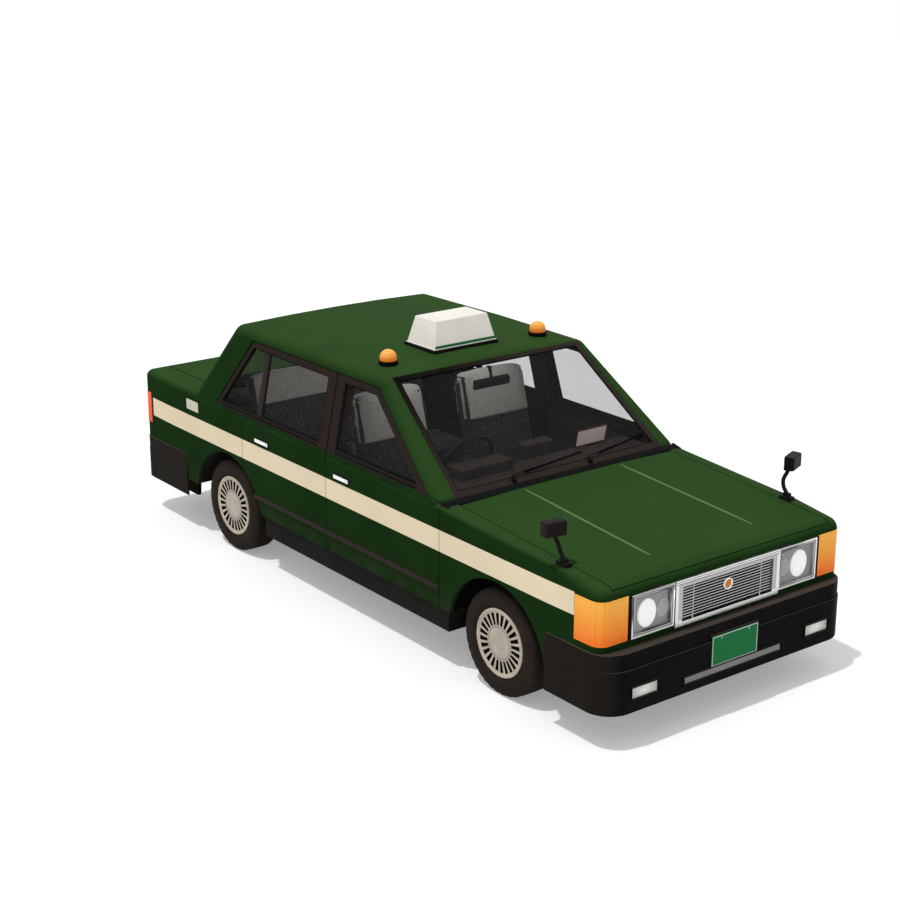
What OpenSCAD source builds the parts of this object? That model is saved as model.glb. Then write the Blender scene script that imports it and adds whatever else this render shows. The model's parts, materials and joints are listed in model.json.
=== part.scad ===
// Four-door taxi sedan, full size, in millimetres.
// +X points to the nose, +Y to the car's left, +Z up; the origin is on the ground below the middle.

/* [Overall] */
// Length over the bumpers
car_length = 4695; // [4400:5:5000]
// Width over the bumpers
car_width = 1767; // [1600:1:1950]
// Height of the roof skin at its middle
roof_height = 1484; // [1400:1:1600]
// Distance between the axles
wheelbase = 2699; // [2600:1:2850]
// Front bumper face to the front axle
front_overhang = 878; // [830:1:930]

/* [Wheels] */
// Outer radius of the tyres
tyre_r = 299; // [280:1:320]
// Width of the tyres
tyre_w = 185; // [165:1:205]
// Radius of the wheels
rim_r = 190; // [175:1:200]
// Tyre's outer face inboard of the body side
tyre_inset = 26; // [15:1:60]
// Radius of the wheel arches
arch_r = 402; // [390:1:420]
// Arch centre below the axle
arch_drop = 46; // [20:1:60]
// Radius of the stub axles
stub_r = 20; // [15:1:30]
// Radial clearance of a hub on its stub
hub_clearance = 0.05; // [0.02:0.01:0.1]
// Steering axis inboard of the tyre's inner face
kingpin_inset = 30; // [25:1:45]

/* [Body heights] */
// Underside of the sills
sill_bottom = 222; // [200:1:240]
// Bottom edge of the doors
door_bottom = 350; // [330:1:380]
// Crease along the body side
crease_z = 863; // [830:1:880]
// Bottom edge of the side window frames
belt_z = 957; // [930:1:980]
// Top of the door frames below the roof skin
frame_drop = 83; // [75:1:95]
// Boot deck at the rear corners
deck_z = 976; // [940:1:1000]
// Bonnet at its front edge
nose_z = 853; // [820:1:880]
// Bonnet at the windscreen
scuttle_z = 931; // [900:1:945]

/* [Greenhouse] */
// Lean of the side windows from the vertical, in degrees
tumblehome = 14; // [8:0.5:18]
// Windscreen above the horizontal, in degrees
screen_rake = 36.9; // [33:0.1:45]
// Rear window above the horizontal, in degrees
rear_rake = 55.2; // [48:0.1:62]
// Rounding of the roof and pillar edges
roof_round = 80; // [60:1:95]
// Crown of the roof across the car
roof_crown = 16; // [8:1:24]
// Crown of the roof along the car
roof_arc = 8; // [4:1:14]
// Width of the windscreen pillars along the car
a_pillar_w = 98; // [90:1:110]
// Thickness of the roof, pillars and rails
pillar_t = 38; // [30:1:45]
// Thickness of the window frames
frame_t = 30; // [22:1:34]
// Width of the window frames
frame_w = 35; // [25:1:45]

/* [Panels] */
// Thickness of the doors
door_t = 108; // [90:1:120]
// Thickness of the fenders and quarters
skin_t = 27; // [20:1:28]
// Gap at the panel seams
seam = 6; // [5:0.5:8]
// Length of the front doors
front_door_l = 1095; // [1000:1:1200]
// Thickness of the bonnet and the boot lid
lid_t = 22; // [15:1:26]
// Half the width of the bonnet
bonnet_half = 782; // [740:1:800]
// Half the width of the boot lid
boot_half = 707; // [650:1:740]
// Thickness of the glass
glass_t = 5; // [4:0.5:6]
// Depth of the glass below the frames around it
glass_depth = 8; // [4:1:12]

/* [Bumpers] */
// Top of both bumpers
bumper_top = 519; // [490:1:530]
// Underside of the front bumper
bumper_bottom = 197; // [180:1:220]
// Height of the upper band of the bumpers
bumper_band = 89; // [70:1:110]
// Set-back of the upper band
bumper_step = 8; // [2:1:12]
// Height of the frames that stand out of the front bumper's face
frame_lip = 6; // [2:1:10]
// Thickness of the bumpers
bumper_t = 30; // [20:1:40]

/* [Hidden] */

LEFT = 1;
RIGHT = -1;
// Longer than any piece of the car, for cuts that pass right through.
FAR = 4000;

// Stations along the car.
nose_x = car_length / 2;
tail_x = -car_length / 2;
front_axle_x = nose_x - front_overhang;
rear_axle_x = front_axle_x - wheelbase;
face_x = nose_x - 80;
back_x = tail_x + 44;
screen_base_x = front_axle_x - 485;
door_front_x = front_axle_x - 476.5;
door_split_x = door_front_x - front_door_l;
door_rear_x = rear_axle_x + 193.5;
rear_base_x = rear_axle_x - 425;
firewall_x = door_front_x + 37;
bonnet_rear_x = door_front_x + 57;
lid_front_x = rear_base_x - 42;

// Half widths.
side_y = car_width / 2 - 3.5;
corner_y = side_y - 8;
belt_y = side_y - 6.5;
tyre_out_y = side_y - tyre_inset;
tyre_in_y = tyre_out_y - tyre_w;
kingpin_y = tyre_in_y - kingpin_inset;
sill_in_y = side_y - 180;
seat_y = sill_in_y - 10;
dash_y = sill_in_y + 35;
front_seat_y = sill_in_y - 330;
corner_lamp_y = side_y - 192;
lamp_out_y = side_y - 212;
grille_y = lamp_out_y - 294;
lamp_in_y = boot_half - 237;
screen_y = side_y - 121;
rear_glass_y = side_y - 180;
crease_front_y = 370;
crease_rear_y = 353;

// Heights.
axle_z = tyre_r;
frame_top = roof_height - frame_drop;
screen_base_z = belt_z - 11;
lamp_top = nose_z - 66;
lamp_bottom = bumper_top + 35;
lid_foot = lamp_bottom + 106;
bumper_line = bumper_top - bumper_band;
window_low = belt_z + 28;
window_high = frame_top - frame_w;
floor_z = 262;
boot_floor_z = 432;
floor_t = 24;
shelf_z = axle_z - arch_drop + arch_r + 22;
plate_t = 12;
wheelhouse_y = side_y - door_t - 14;
wheelhouse_in_y = tyre_in_y - 121;
axle_tube_r = 38;
rail_in_y = 375;
rail_out_y = 455;
tow_eye_r = 22;
tow_eye_y = 415;
tow_eye_t = 16;

// Roundings of the lower body.
nose_round = 65;
scuttle_round = 30;
deck_round = 45;
tail_round = 50;
crease_round = 40;
// Inset of the nose's full width behind the face, and of the sills' foot.
waist = 370;
tuck = 15;
// Lean of the centre pillar between the belt and the frames' top.
pillar_lean = 21;
// The rear door's frame reaches this far behind its lower edge, at its foot and top.
frame_foot = 308;
frame_head = 14;

// Where the outer planes of the greenhouse are at a height.
function glass_y(z) = belt_y - tan(tumblehome) * (z - belt_z);
function screen_x(z) = screen_base_x - (z - screen_base_z) / tan(screen_rake);
function rear_x(z) = rear_base_x + (z - screen_base_z) / tan(rear_rake);

// Extrudes an XZ outline from y0 to y1, and a YZ outline from x0 to x1.
module across(y0, y1) translate([0, y1, 0]) rotate([90, 0, 0]) linear_extrude(y1 - y0) children();
module along(x0, x1) translate([x0, 0, 0]) rotate([90, 0, 90]) linear_extrude(x1 - x0) children();
// A box from its two opposite corners.
module box(a, b) translate(a) cube(b - a);
// Puts a left-hand shape on its side of the car.
module on_side(s) mirror([0, s > 0 ? 0 : 1, 0]) children();
// A cylinder along Y from y0 to y1.
module rod_y(r, y0, y1) translate([0, y1, 0]) rotate([90, 0, 0]) cylinder(r = r, h = y1 - y0);

// ---- Outer shapes that the panels are cut from ----

// Roof, pillars and window planes as one convex shape, inset for its inside.
module greenhouse(inset = 0) {
    base_z = belt_z - 57;
    end_z = roof_height - roof_crown - roof_arc - roof_round;
    edge_y = glass_y(end_z) - roof_round / cos(tumblehome);
    hull() {
        for (s = [LEFT, RIGHT]) {
            for (x = [screen_x(base_z) - roof_round / sin(screen_rake),
                      rear_x(base_z) + roof_round / sin(rear_rake)])
                translate([x, s * (glass_y(base_z) - roof_round / cos(tumblehome)), base_z])
                    sphere(r = roof_round - inset, $fn = 32);
            for (part = [0, 0.5, 1]) {
                z = end_z + roof_crown * (1 - part * part);
                for (x = [screen_x(z) - roof_round / sin(screen_rake),
                          rear_x(z) + roof_round / sin(rear_rake)])
                    translate([x, s * part * edge_y, z])
                        sphere(r = roof_round - inset, $fn = 32);
                translate([(screen_x(z) + rear_x(z)) / 2, s * part * edge_y, z + roof_arc])
                    sphere(r = roof_round - inset, $fn = 32);
            }
        }
    }
}

// Body below the windows as one convex shape, inset for its inside and open at its foot.
module lower_body(inset = 0, foot = sill_bottom) {
    shoulder = [
        [face_x - nose_round, corner_y, nose_z, nose_round],
        [face_x - waist, side_y, nose_z + 21, nose_round],
        [door_front_x + 27, side_y, scuttle_z, scuttle_round],
        [rear_base_x, side_y, deck_z - 7, deck_round],
        [back_x + 400, side_y, deck_z - 5, deck_round],
        [back_x + tail_round, corner_y, deck_z, tail_round]
    ];
    hull() {
        for (s = [LEFT, RIGHT]) {
            for (p = shoulder)
                translate([p[0], s * (p[1] - p[3]), p[2] - p[3]]) sphere(r = p[3] - inset, $fn = 32);
            translate([face_x - nose_round, s * (corner_y - nose_round), foot])
                cylinder(r = nose_round - inset, h = 100, $fn = 48);
            translate([back_x + tail_round, s * (corner_y - tail_round), foot])
                cylinder(r = tail_round - inset, h = 100, $fn = 48);
            for (x = [back_x + 400, face_x - waist]) on_side(s) {
                box([x, 600, 470], [x + 1, side_y - inset, crease_z]);
                box([x, 600, foot], [x + 1, side_y - tuck - inset, foot + 90]);
            }
            // Raised creases along the bonnet.
            translate([face_x - nose_round - 10, s * crease_front_y, nose_z + 10 - crease_round])
                sphere(r = crease_round - inset, $fn = 24);
            translate([door_front_x + 27, s * crease_rear_y, scuttle_z + 12 - crease_round])
                sphere(r = crease_round - inset, $fn = 24);
        }
    }
}

// The whole side of the body, with the window planes above the crease.
module body_side(inset = 0) {
    lower_body(inset);
    intersection() {
        greenhouse(inset);
        along(-FAR, FAR) polygon([
            [0, crease_z], [side_y - inset, crease_z], [belt_y - inset, belt_z],
            [belt_y - inset, FAR], [0, FAR]
        ]);
    }
}

// Round opening over a wheel, cut through one side.
module arch_cut(x, extra = 0)
    translate([x, 0, axle_z - arch_drop]) rod_y(arch_r + extra, -FAR, FAR);

// ---- Doors ----

module front_door_outline(gap = 0) polygon([
    [door_split_x + seam / 2 + gap, door_bottom],
    [door_front_x - seam / 2, door_bottom],
    [door_front_x - seam / 2, belt_z - 29],
    [screen_x(belt_z) - a_pillar_w, belt_z + 6],
    [screen_x(frame_top) - a_pillar_w, frame_top],
    [door_split_x - pillar_lean + seam / 2 + gap, frame_top],
    [door_split_x + seam / 2 + gap, belt_z]
]);

module rear_door_outline(gap = 0) polygon([
    [door_split_x - seam / 2, door_bottom],
    [door_split_x - seam / 2, belt_z],
    [door_split_x - pillar_lean - seam / 2, frame_top],
    [door_rear_x - frame_head + gap, frame_top],
    [door_rear_x - frame_foot + gap, belt_z + 15],
    [door_rear_x + seam / 2 + gap, belt_z - 30],
    [door_rear_x + seam / 2 + gap, door_bottom]
]);

// Window openings, inside their doors' upper outlines, with the wide centre pillar between them.
pillar_half = 85;

module front_window_outline() {
    step = a_pillar_w + frame_w / sin(screen_rake);
    polygon([
        [door_split_x + pillar_half, window_low],
        [screen_x(window_low) - step, window_low],
        [screen_x(window_high) - step, window_high],
        [door_split_x + pillar_half - pillar_lean, window_high]
    ]);
}

// Rear edge of the rear door's frame at a height.
function quarter_edge_x(z) = door_rear_x - frame_foot
    + (z - belt_z - 15) * (frame_foot - frame_head) / (frame_top - belt_z - 15);

module rear_window_outline() polygon([
    [quarter_edge_x(window_low) + frame_w + 7, window_low],
    [door_split_x - pillar_half, window_low],
    [door_split_x - pillar_half - pillar_lean, window_high],
    [quarter_edge_x(window_high) + frame_w + 7, window_high]
]);

// Skin of a door over its full outline, with a shorter box behind it that clears the next door.
shell_t = 24;
edge_step = 14;

module door_body(front) {
    difference() {
        intersection() {
            body_side();
            union() {
                across(side_y - shell_t, FAR) intersection() {
                    if (front) front_door_outline(); else rear_door_outline();
                    translate([-FAR, 0]) square([2 * FAR, belt_z]);
                }
                across(side_y - door_t, side_y - shell_t) difference() {
                    intersection() {
                        if (front) front_door_outline(edge_step); else rear_door_outline(edge_step);
                        translate([-FAR, 0]) square([2 * FAR, belt_z]);
                    }
                    if (!front) translate([rear_axle_x, axle_z - arch_drop]) circle(arch_r + 22);
                }
                across(300, FAR) intersection() {
                    if (front) front_door_outline(seam - 1); else rear_door_outline(seam);
                    translate([-FAR, belt_z]) square([2 * FAR, FAR]);
                }
            }
        }
        intersection() {
            greenhouse(frame_t);
            translate([-FAR, -FAR, belt_z]) cube(2 * FAR);
        }
        across(300, FAR) if (front) front_window_outline(); else rear_window_outline();
        if (!front) arch_cut(rear_axle_x);
    }
}

// A pane in the window plane, filling the opening of its frame.
module door_pane(front) intersection() {
    across(300, FAR) if (front) front_window_outline(); else rear_window_outline();
    translate([-FAR, belt_y, belt_z]) rotate([tumblehome, 0, 0])
        translate([0, -glass_depth - 4 - glass_t, -FAR / 2]) cube([2 * FAR, glass_t, FAR]);
}

module front_door(s) color([0.08, 0.2, 0.08]) on_side(s) door_body(true);
module rear_door(s) color([0.08, 0.2, 0.08]) on_side(s) door_body(false);
module front_door_glass(s) color([0.4, 0.42, 0.42, 0.5]) on_side(s) door_pane(true);
module rear_door_glass(s) color([0.4, 0.42, 0.42, 0.5]) on_side(s) door_pane(false);

// ---- Fixed outer panels ----

// Space taken by both doors with their seams, for the panels around them.
module door_space() {
    across(200, FAR) {
        offset(delta = seam) { front_door_outline(); rear_door_outline(); }
        translate([door_rear_x + 200, door_bottom - seam]) square([400, 200]);
        polygon([
            [door_split_x, belt_z], [door_rear_x - frame_foot - 8, belt_z + 15 - seam],
            [door_rear_x - frame_head - 8, frame_top + seam], [door_split_x, frame_top + seam]
        ]);
    }
}

module front_fender(s) color([0.08, 0.2, 0.08]) on_side(s) difference() {
    intersection() {
        lower_body();
        box([door_front_x + seam / 2, 300, sill_bottom + 30], [face_x + 1, FAR, FAR]);
    }
    lower_body(skin_t, -100);
    box([door_front_x, 0, 0], [face_x - 100, bonnet_half, FAR]);
    box([door_front_x, 0, 0], [FAR, corner_lamp_y, FAR]);
    box([face_x - 110, 0, nose_z - 24], [FAR, bonnet_half, FAR]);
    // Seats of the corner lamp and the windscreen's cowl.
    box([face_x - 180, 600, lamp_bottom], [FAR, FAR, lamp_top + 3]);
    box([0, 0, belt_z - 32], [screen_base_x + 42, bonnet_half + 62, FAR]);
    arch_cut(front_axle_x);
    box([-FAR, -FAR, sill_bottom - 1], [front_axle_x, FAR, door_bottom - seam]);
}

module rear_quarter(s) color([0.08, 0.2, 0.08]) on_side(s) difference() {
    union() {
        difference() {
            intersection() {
                lower_body();
                box([back_x - 1, 0, sill_bottom + 40], [door_rear_x + 50, FAR, FAR]);
            }
            lower_body(skin_t, -100);
        }
        intersection() {
            body_side();
            box([rear_base_x - 60, 0, belt_z - 30], [door_rear_x + 50, FAR, frame_top + seam]);
        }
    }
    intersection() {
        greenhouse(pillar_t);
        translate([-FAR, -FAR, belt_z - 12]) cube(2 * FAR);
    }
    // Inside of the boot and the cabin.
    box([back_x + skin_t, -1, 0], [FAR, side_y - 60, belt_z - 12]);
    box([rear_base_x + 20, -1, 0], [FAR, side_y - 60, belt_z]);
    // Opening under the lid, which reaches down between the tail lamps.
    box([-FAR, -1, lid_foot - seam], [back_x + 60, lamp_in_y, FAR]);
    box([-FAR, -1, lamp_top + 40], [lid_front_x + 4, boot_half + 3, FAR]);
    rear_window_cut();
    door_space();
    arch_cut(rear_axle_x);
    tail_lamp_seat();
}

// Space of one tail lamp, round the corner of the body.
module tail_lamp_seat() box([-FAR, lamp_in_y, lamp_bottom + 66], [back_x + 90, FAR, lamp_top + 40]);

// The opening in the rear window's plane, wider at its foot.
module rear_window_cut() {
    translate([rear_x(belt_z), 0, belt_z]) rotate([0, -rear_rake, 0]) translate([0, 0, -300])
        linear_extrude(600) polygon([
            [52, -rear_glass_y], [545, 88 - rear_glass_y], [545, rear_glass_y - 88], [52, rear_glass_y]
        ]);
}

// The opening in the windscreen's plane.
module screen_cut() {
    length = (frame_top + 56 - screen_base_z) / sin(screen_rake);
    translate([screen_base_x, 0, screen_base_z]) rotate([0, screen_rake, 0]) translate([0, 0, -300])
        linear_extrude(600) polygon([
            [0, -screen_y], [-length, 75 - screen_y], [-length, screen_y - 75], [0, screen_y]
        ]);
}

module roof_panel() color([0.08, 0.2, 0.08]) difference() {
    intersection() {
        greenhouse();
        along(-FAR, FAR) polygon([
            [-belt_y, screen_base_z - 20], [belt_y, screen_base_z - 20], [belt_y, FAR], [-belt_y, FAR]
        ]);
    }
    greenhouse(pillar_t);
    // The quarters hold everything behind the doors and below the rails.
    box([-FAR, -FAR, 0], [door_rear_x + 100, FAR, frame_top + seam]);
    box([-FAR, -FAR, 0], [screen_x(frame_top) - 250, FAR, frame_top + seam]);
    screen_cut();
    rear_window_cut();
    for (s = [LEFT, RIGHT]) on_side(s) door_space();
}

module b_pillars() color([0.12, 0.1, 0.1]) for (s = [LEFT, RIGHT]) on_side(s) intersection() {
    out_y = side_y - door_t - 8;
    in_y = out_y - 52;
    top_out = frame_t + 24;
    top_in = top_out + 44;
    knee_z = belt_z + 40;
    along(door_split_x - 60, door_split_x + 40) polygon([
        [in_y, door_bottom - seam], [out_y, door_bottom - seam], [out_y, belt_z + 8],
        [glass_y(knee_z) - top_out, knee_z], [glass_y(roof_height) - top_out, roof_height],
        [glass_y(roof_height) - top_in, roof_height], [glass_y(knee_z) - top_in, knee_z],
        [in_y, belt_z - 10]
    ]);
    greenhouse_or_below(pillar_t);
}

// Everything below the belt, and the inside of the greenhouse above it.
module greenhouse_or_below(inset) {
    greenhouse(inset);
    box([-FAR, -FAR, 0], [FAR, FAR, belt_z]);
}

// ---- Structure ----

module floor_pan() color([0.12, 0.11, 0.1]) {
    difference() {
        union() {
            box([rear_axle_x + 500, -sill_in_y, floor_z], [firewall_x, sill_in_y, floor_z + floor_t]);
            box([rear_axle_x + 500, -112, floor_z], [firewall_x, 112, floor_z + 130]);
            for (s = [LEFT, RIGHT]) on_side(s) {
                box([rear_axle_x, sill_in_y, sill_bottom], [front_axle_x, side_y - 18, door_bottom - seam]);
                for (x = [rear_axle_x + 520, door_front_x - 90])
                    box([x - 40, side_y - 125, sill_bottom - 12], [x + 40, side_y - 75, sill_bottom]);
            }
        }
        box([rear_axle_x + 400, -100, 0], [firewall_x + 1, 100, floor_z + 118]);
        for (x = [front_axle_x, rear_axle_x]) arch_cut(x, plate_t + 2);
    }
}

// A lashing eye's plate below a frame rail.
module tow_eye(outline) across(tow_eye_y - tow_eye_t / 2, tow_eye_y + tow_eye_t / 2) polygon(outline);

// Bulkhead ahead of the cabin, with the cowl box below the windscreen's foot.
module firewall() color([0.1, 0.1, 0.1]) difference() {
    intersection() {
        lower_body(skin_t + 1, 0);
        union() {
            box([firewall_x, -FAR, floor_z], [firewall_x + plate_t, FAR, scuttle_z - 18]);
            box([screen_base_x + 12, -FAR, belt_z - 90], [firewall_x, FAR, belt_z - 32]);
        }
    }
    // The sills run through below it.
    for (s = [LEFT, RIGHT]) on_side(s)
        box([firewall_x - 1, sill_in_y, 0], [front_axle_x, FAR, door_bottom - seam]);
}

// Inner walls of the engine bay with their shelves.
module inner_fenders() color([0.1, 0.1, 0.1]) for (s = [LEFT, RIGHT]) on_side(s) {
    x = firewall_x + plate_t;
    end_x = face_x - 300;
    difference() {
        intersection() {
            lower_body(skin_t + 1, 0);
            union() {
                box([x, rail_out_y, floor_z], [end_x, rail_out_y + plate_t, shelf_z]);
                box([x, rail_out_y, shelf_z], [end_x, FAR, shelf_z + plate_t]);
            }
        }
        box([x - 1, sill_in_y, 0], [front_axle_x, FAR, door_bottom - seam]);
    }
}

// Two front rails and two rear rails, each with a towing eye, the rear pair arched over the axle.
module frame_rails() color([0.1, 0.1, 0.1]) for (s = [LEFT, RIGHT]) on_side(s) {
    front_eye_x = face_x - 95;
    rear_eye_x = back_x + 95;
    front_low = floor_z + 60;
    rear_low = boot_floor_z - 100;
    difference() {
        union() {
            intersection() {
                lower_body(skin_t + 1, 0);
                box([firewall_x + plate_t, rail_in_y, front_low],
                    [face_x - 40, rail_out_y, front_low + 100]);
            }
            tow_eye([
                [front_eye_x - 65, front_low], [front_eye_x - 35, 150],
                [front_eye_x + 35, 150], [front_eye_x + 45, front_low]
            ]);
        }
        translate([front_eye_x, 0, 190]) rod_y(tow_eye_r, 300, 500);
    }
    difference() {
        union() {
            intersection() {
                lower_body(skin_t + 1, 0);
                box([tail_x, rail_in_y, rear_low], [rear_axle_x + 480, rail_out_y, boot_floor_z]);
            }
            tow_eye([
                [rear_eye_x + 65, rear_low], [rear_eye_x + 35, 172],
                [rear_eye_x - 35, 172], [rear_eye_x - 35, rear_low]
            ]);
        }
        translate([rear_eye_x, 0, 210]) rod_y(tow_eye_r, 300, 500);
        translate([rear_axle_x, 0, axle_z]) rod_y(axle_tube_r + 22, 300, 500);
    }
}

// Boot floor with its riser under the rear seat.
module rear_floor() color([0.12, 0.11, 0.1]) {
    low = boot_floor_z;
    riser_x = rear_axle_x + 500;
    difference() {
        intersection() {
            lower_body(skin_t + 1, 0);
            union() {
                difference() {
                    box([tail_x, -FAR, low], [riser_x, FAR, low + floor_t]);
                    for (s = [LEFT, RIGHT]) on_side(s)
                        box([rear_axle_x + 60, wheelhouse_y, 0], [FAR, FAR, FAR]);
                }
                box([riser_x - plate_t, -seat_y, floor_z], [riser_x, seat_y, low]);
            }
        }
        for (s = [LEFT, RIGHT]) on_side(s) {
            wheelhouse_space();
            translate([rear_axle_x, 0, axle_z - arch_drop]) rod_y(arch_r, wheelhouse_in_y + plate_t, FAR);
        }
    }
}

// The outside of one wheelhouse.
module wheelhouse_space()
    translate([rear_axle_x, 0, axle_z - arch_drop]) rod_y(arch_r + plate_t, wheelhouse_in_y, wheelhouse_y);

module wheelhouses() color([0.12, 0.11, 0.1]) for (s = [LEFT, RIGHT]) on_side(s) difference() {
    wheelhouse_space();
    translate([rear_axle_x, 0, axle_z - arch_drop]) rod_y(arch_r, wheelhouse_in_y + plate_t, FAR);
    box([-FAR, wheelhouse_in_y - 1, -FAR], [FAR, FAR, axle_z + 45]);
}

// Wall and shelf behind the rear seat.
module rear_bulkhead() color([0.12, 0.11, 0.1]) difference() {
    y = sill_in_y;
    shelf = belt_z - 32;
    intersection() {
        lower_body(skin_t + 1, 0);
        union() {
            box([rear_base_x + 30, -y, shelf], [rear_axle_x - 112, y, shelf + plate_t]);
            box([rear_axle_x - 190, -y, boot_floor_z + floor_t], [rear_axle_x - 170, y, shelf]);
        }
    }
    for (s = [LEFT, RIGHT]) on_side(s) wheelhouse_space();
}

module front_panel() color([0.08, 0.2, 0.08]) difference() {
    intersection() {
        lower_body();
        box([face_x - 60, 1 - corner_lamp_y, 330], [face_x + 1, corner_lamp_y - 1, nose_z - 24]);
    }
    lower_body(38, -100);
    // Openings for the headlamps and for the taller grille between them.
    box([face_x - 100, -lamp_out_y - 1, lamp_bottom - 1], [face_x + 50, lamp_out_y + 1, lamp_top + 1]);
    box([face_x - 100, -grille_y - 1, lamp_bottom - 16], [face_x + 50, grille_y + 1, lamp_top + 4]);
}

// ---- Bumpers, grille and lamps ----

// Plan outline of a bumper's outside, from its rear end to the face.
module bumper_plan(depth, r, inset = 0) {
    hull() {
        for (s = [LEFT, RIGHT]) {
            translate([depth - r, s * (car_width / 2 - r)]) circle(r = r - inset, $fn = 64);
            translate([-100, s * (car_width / 2 - 5) - 5 + (s > 0 ? -inset : inset)]) square([1, 10]);
        }
    }
}

// Two bands, the upper one set back, over a hollow that is open below.
module bumper(depth, r, bottom) {
    difference() {
        union() {
            translate([0, 0, bottom]) linear_extrude(bumper_line - bottom) bumper_plan(depth, r);
            translate([0, 0, bottom])
                linear_extrude(bumper_top - bottom) bumper_plan(depth, r, bumper_step);
        }
        translate([0, 0, bottom - 1])
            linear_extrude(bumper_top - bottom - bumper_t) bumper_plan(depth, r, bumper_t);
        box([-FAR, -FAR, 0], [0, FAR, FAR]);
    }
}

// A low frame or its recess on the front bumper's face, across y0 to y1 and up z0 to z1.
module face_box(back, front, y0, y1, z0, z1, grow = 0)
    box([nose_x - back, y0 - grow, z0 - grow], [nose_x - front, y1 + grow, z1 + grow]);

module front_bumper() {
    depth = 476 - frame_lip;
    fog = [corner_lamp_y - 151, corner_lamp_y + 27, 269, 331];
    slot = [-355, 355, 247, 285];
    plate = [-169, 169, 288, 459];
    recess = frame_lip + 14;
    color([0.05, 0.05, 0.05]) difference() {
        union() {
            translate([nose_x - 476, 0, 0]) bumper(depth, 150, bumper_bottom);
            for (s = [LEFT, RIGHT]) on_side(s) face_box(recess, 0, fog[0], fog[1], fog[2], fog[3], 9);
            face_box(recess, 0, slot[0], slot[1], slot[2], slot[3], 9);
            face_box(recess, frame_lip - 1, plate[0], plate[1], plate[2], plate[3], 5);
        }
        lower_body(-1);
        for (s = [LEFT, RIGHT]) on_side(s) face_box(recess, -1, fog[0], fog[1], fog[2], fog[3]);
        face_box(recess, -1, slot[0], slot[1], slot[2], slot[3]);
    }
}

module rear_bumper() color([0.05, 0.05, 0.05]) difference() {
    translate([tail_x + 600, 0, 0]) mirror([1, 0, 0]) bumper(600, 120, bumper_bottom + 35);
    lower_body(-1);
    arch_cut(rear_axle_x, 2);
}

module grille() color([0.75, 0.75, 0.76]) {
    y = grille_y;
    in_y = y - 48;
    low = lamp_bottom + 10;
    high = lamp_top - 38;
    bars = 11;
    step = (high - low) / (bars + 1);
    difference() {
        box([face_x - 30, -y, lamp_bottom - 15], [face_x + 14, y, lamp_top + 3]);
        box([face_x - 31, -in_y, low], [face_x + 15, in_y, high]);
    }
    for (i = [1:bars])
        translate([0, 0, low + i * step]) box([face_x - 20, -in_y, -3], [face_x + 4, in_y, 3]);
    for (s = [LEFT, RIGHT]) on_side(s) box([face_x - 26, in_y - 85, low], [face_x + 6, in_y - 79, high]);
}

module headlamps() color([0.8, 0.8, 0.8]) for (s = [LEFT, RIGHT]) on_side(s) difference() {
    box([face_x - 80, grille_y + 3, lamp_bottom], [face_x + 8, lamp_out_y, lamp_top]);
    box([face_x - 2, grille_y + 21, lamp_bottom + 14], [face_x + 9, lamp_out_y - 18, lamp_top - 14]);
}

module corner_lamps() color([1, 0.55, 0.1]) for (s = [LEFT, RIGHT]) on_side(s) difference() {
    intersection() {
        lower_body(-3);
        box([face_x - 180, 600, lamp_bottom], [FAR, FAR, lamp_top + 3]);
    }
    lower_body(skin_t, -100);
    box([-FAR, 0, 0], [FAR, corner_lamp_y, FAR]);
}

module tail_lamps() color([0.8, 0.1, 0.05]) for (s = [LEFT, RIGHT]) on_side(s) difference() {
    intersection() {
        lower_body(-3);
        tail_lamp_seat();
    }
    lower_body(skin_t, -100);
}

// ---- Glass ----

module windscreen() color([0.4, 0.42, 0.42, 0.5]) intersection() {
    screen_cut();
    translate([screen_base_x, 0, screen_base_z]) rotate([0, screen_rake, 0])
        translate([-FAR / 2, -FAR / 2, -glass_depth - glass_t]) cube([FAR, FAR, glass_t]);
}

module rear_window() color([0.4, 0.42, 0.42, 0.5]) intersection() {
    rear_window_cut();
    translate([rear_x(belt_z), 0, belt_z]) rotate([0, -rear_rake, 0])
        translate([-FAR / 2, -FAR / 2, -glass_depth - glass_t]) cube([FAR, FAR, glass_t]);
}

// ---- Lids ----

module bonnet() color([0.08, 0.2, 0.08]) difference() {
    intersection() {
        lower_body();
        box([bonnet_rear_x, -bonnet_half + seam, nose_z - 24 + seam], [FAR, bonnet_half - seam, FAR]);
    }
    lower_body(lid_t, -100);
}

module boot_lid() color([0.08, 0.2, 0.08]) difference() {
    intersection() {
        lower_body();
        union() {
            box([back_x + 60, -boot_half + seam, deck_z - 90], [lid_front_x - seam, boot_half - seam, FAR]);
            box([-FAR, -boot_half + seam, lamp_top + 46], [back_x + 60, boot_half - seam, FAR]);
            box([-FAR, -lamp_in_y + seam, lid_foot], [back_x + 60, lamp_in_y - seam, FAR]);
        }
    }
    lower_body(lid_t, -100);
}

// ---- Cabin ----

module dash_outline() polygon([
    [screen_base_x + 4, belt_z - 40], [screen_base_x - 40, belt_z - 20],
    [screen_base_x - 300, belt_z - 14], [screen_base_x - 335, belt_z - 50],
    [screen_base_x - 300, belt_z - 330], [screen_base_x - 120, belt_z - 400],
    [screen_base_x + 4, belt_z - 400]
]);

module dashboard() color([0.16, 0.13, 0.12]) {
    difference() {
        across(-dash_y, dash_y) dash_outline();
        box([screen_base_x - 250, 35 - dash_y, belt_z - 401], [FAR, dash_y - 35, belt_z - 260]);
    }
    dash_hood();
    // The centre box.
    box([screen_base_x - 385, -5, belt_z - 17], [screen_base_x - 300, 185, belt_z + 38]);
    box([screen_base_x - 330, -5, belt_z - 40], [screen_base_x - 300, 185, belt_z - 17]);
    box([screen_base_x - 298, -110, floor_z + 131], [screen_base_x - 252, 110, belt_z - 300]);
}

// Hood over the instruments.
module dash_hood() translate([screen_base_x, wheel_hub[1], belt_z]) box([-353, -186, -25], [-215, 187, 43]);

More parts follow.
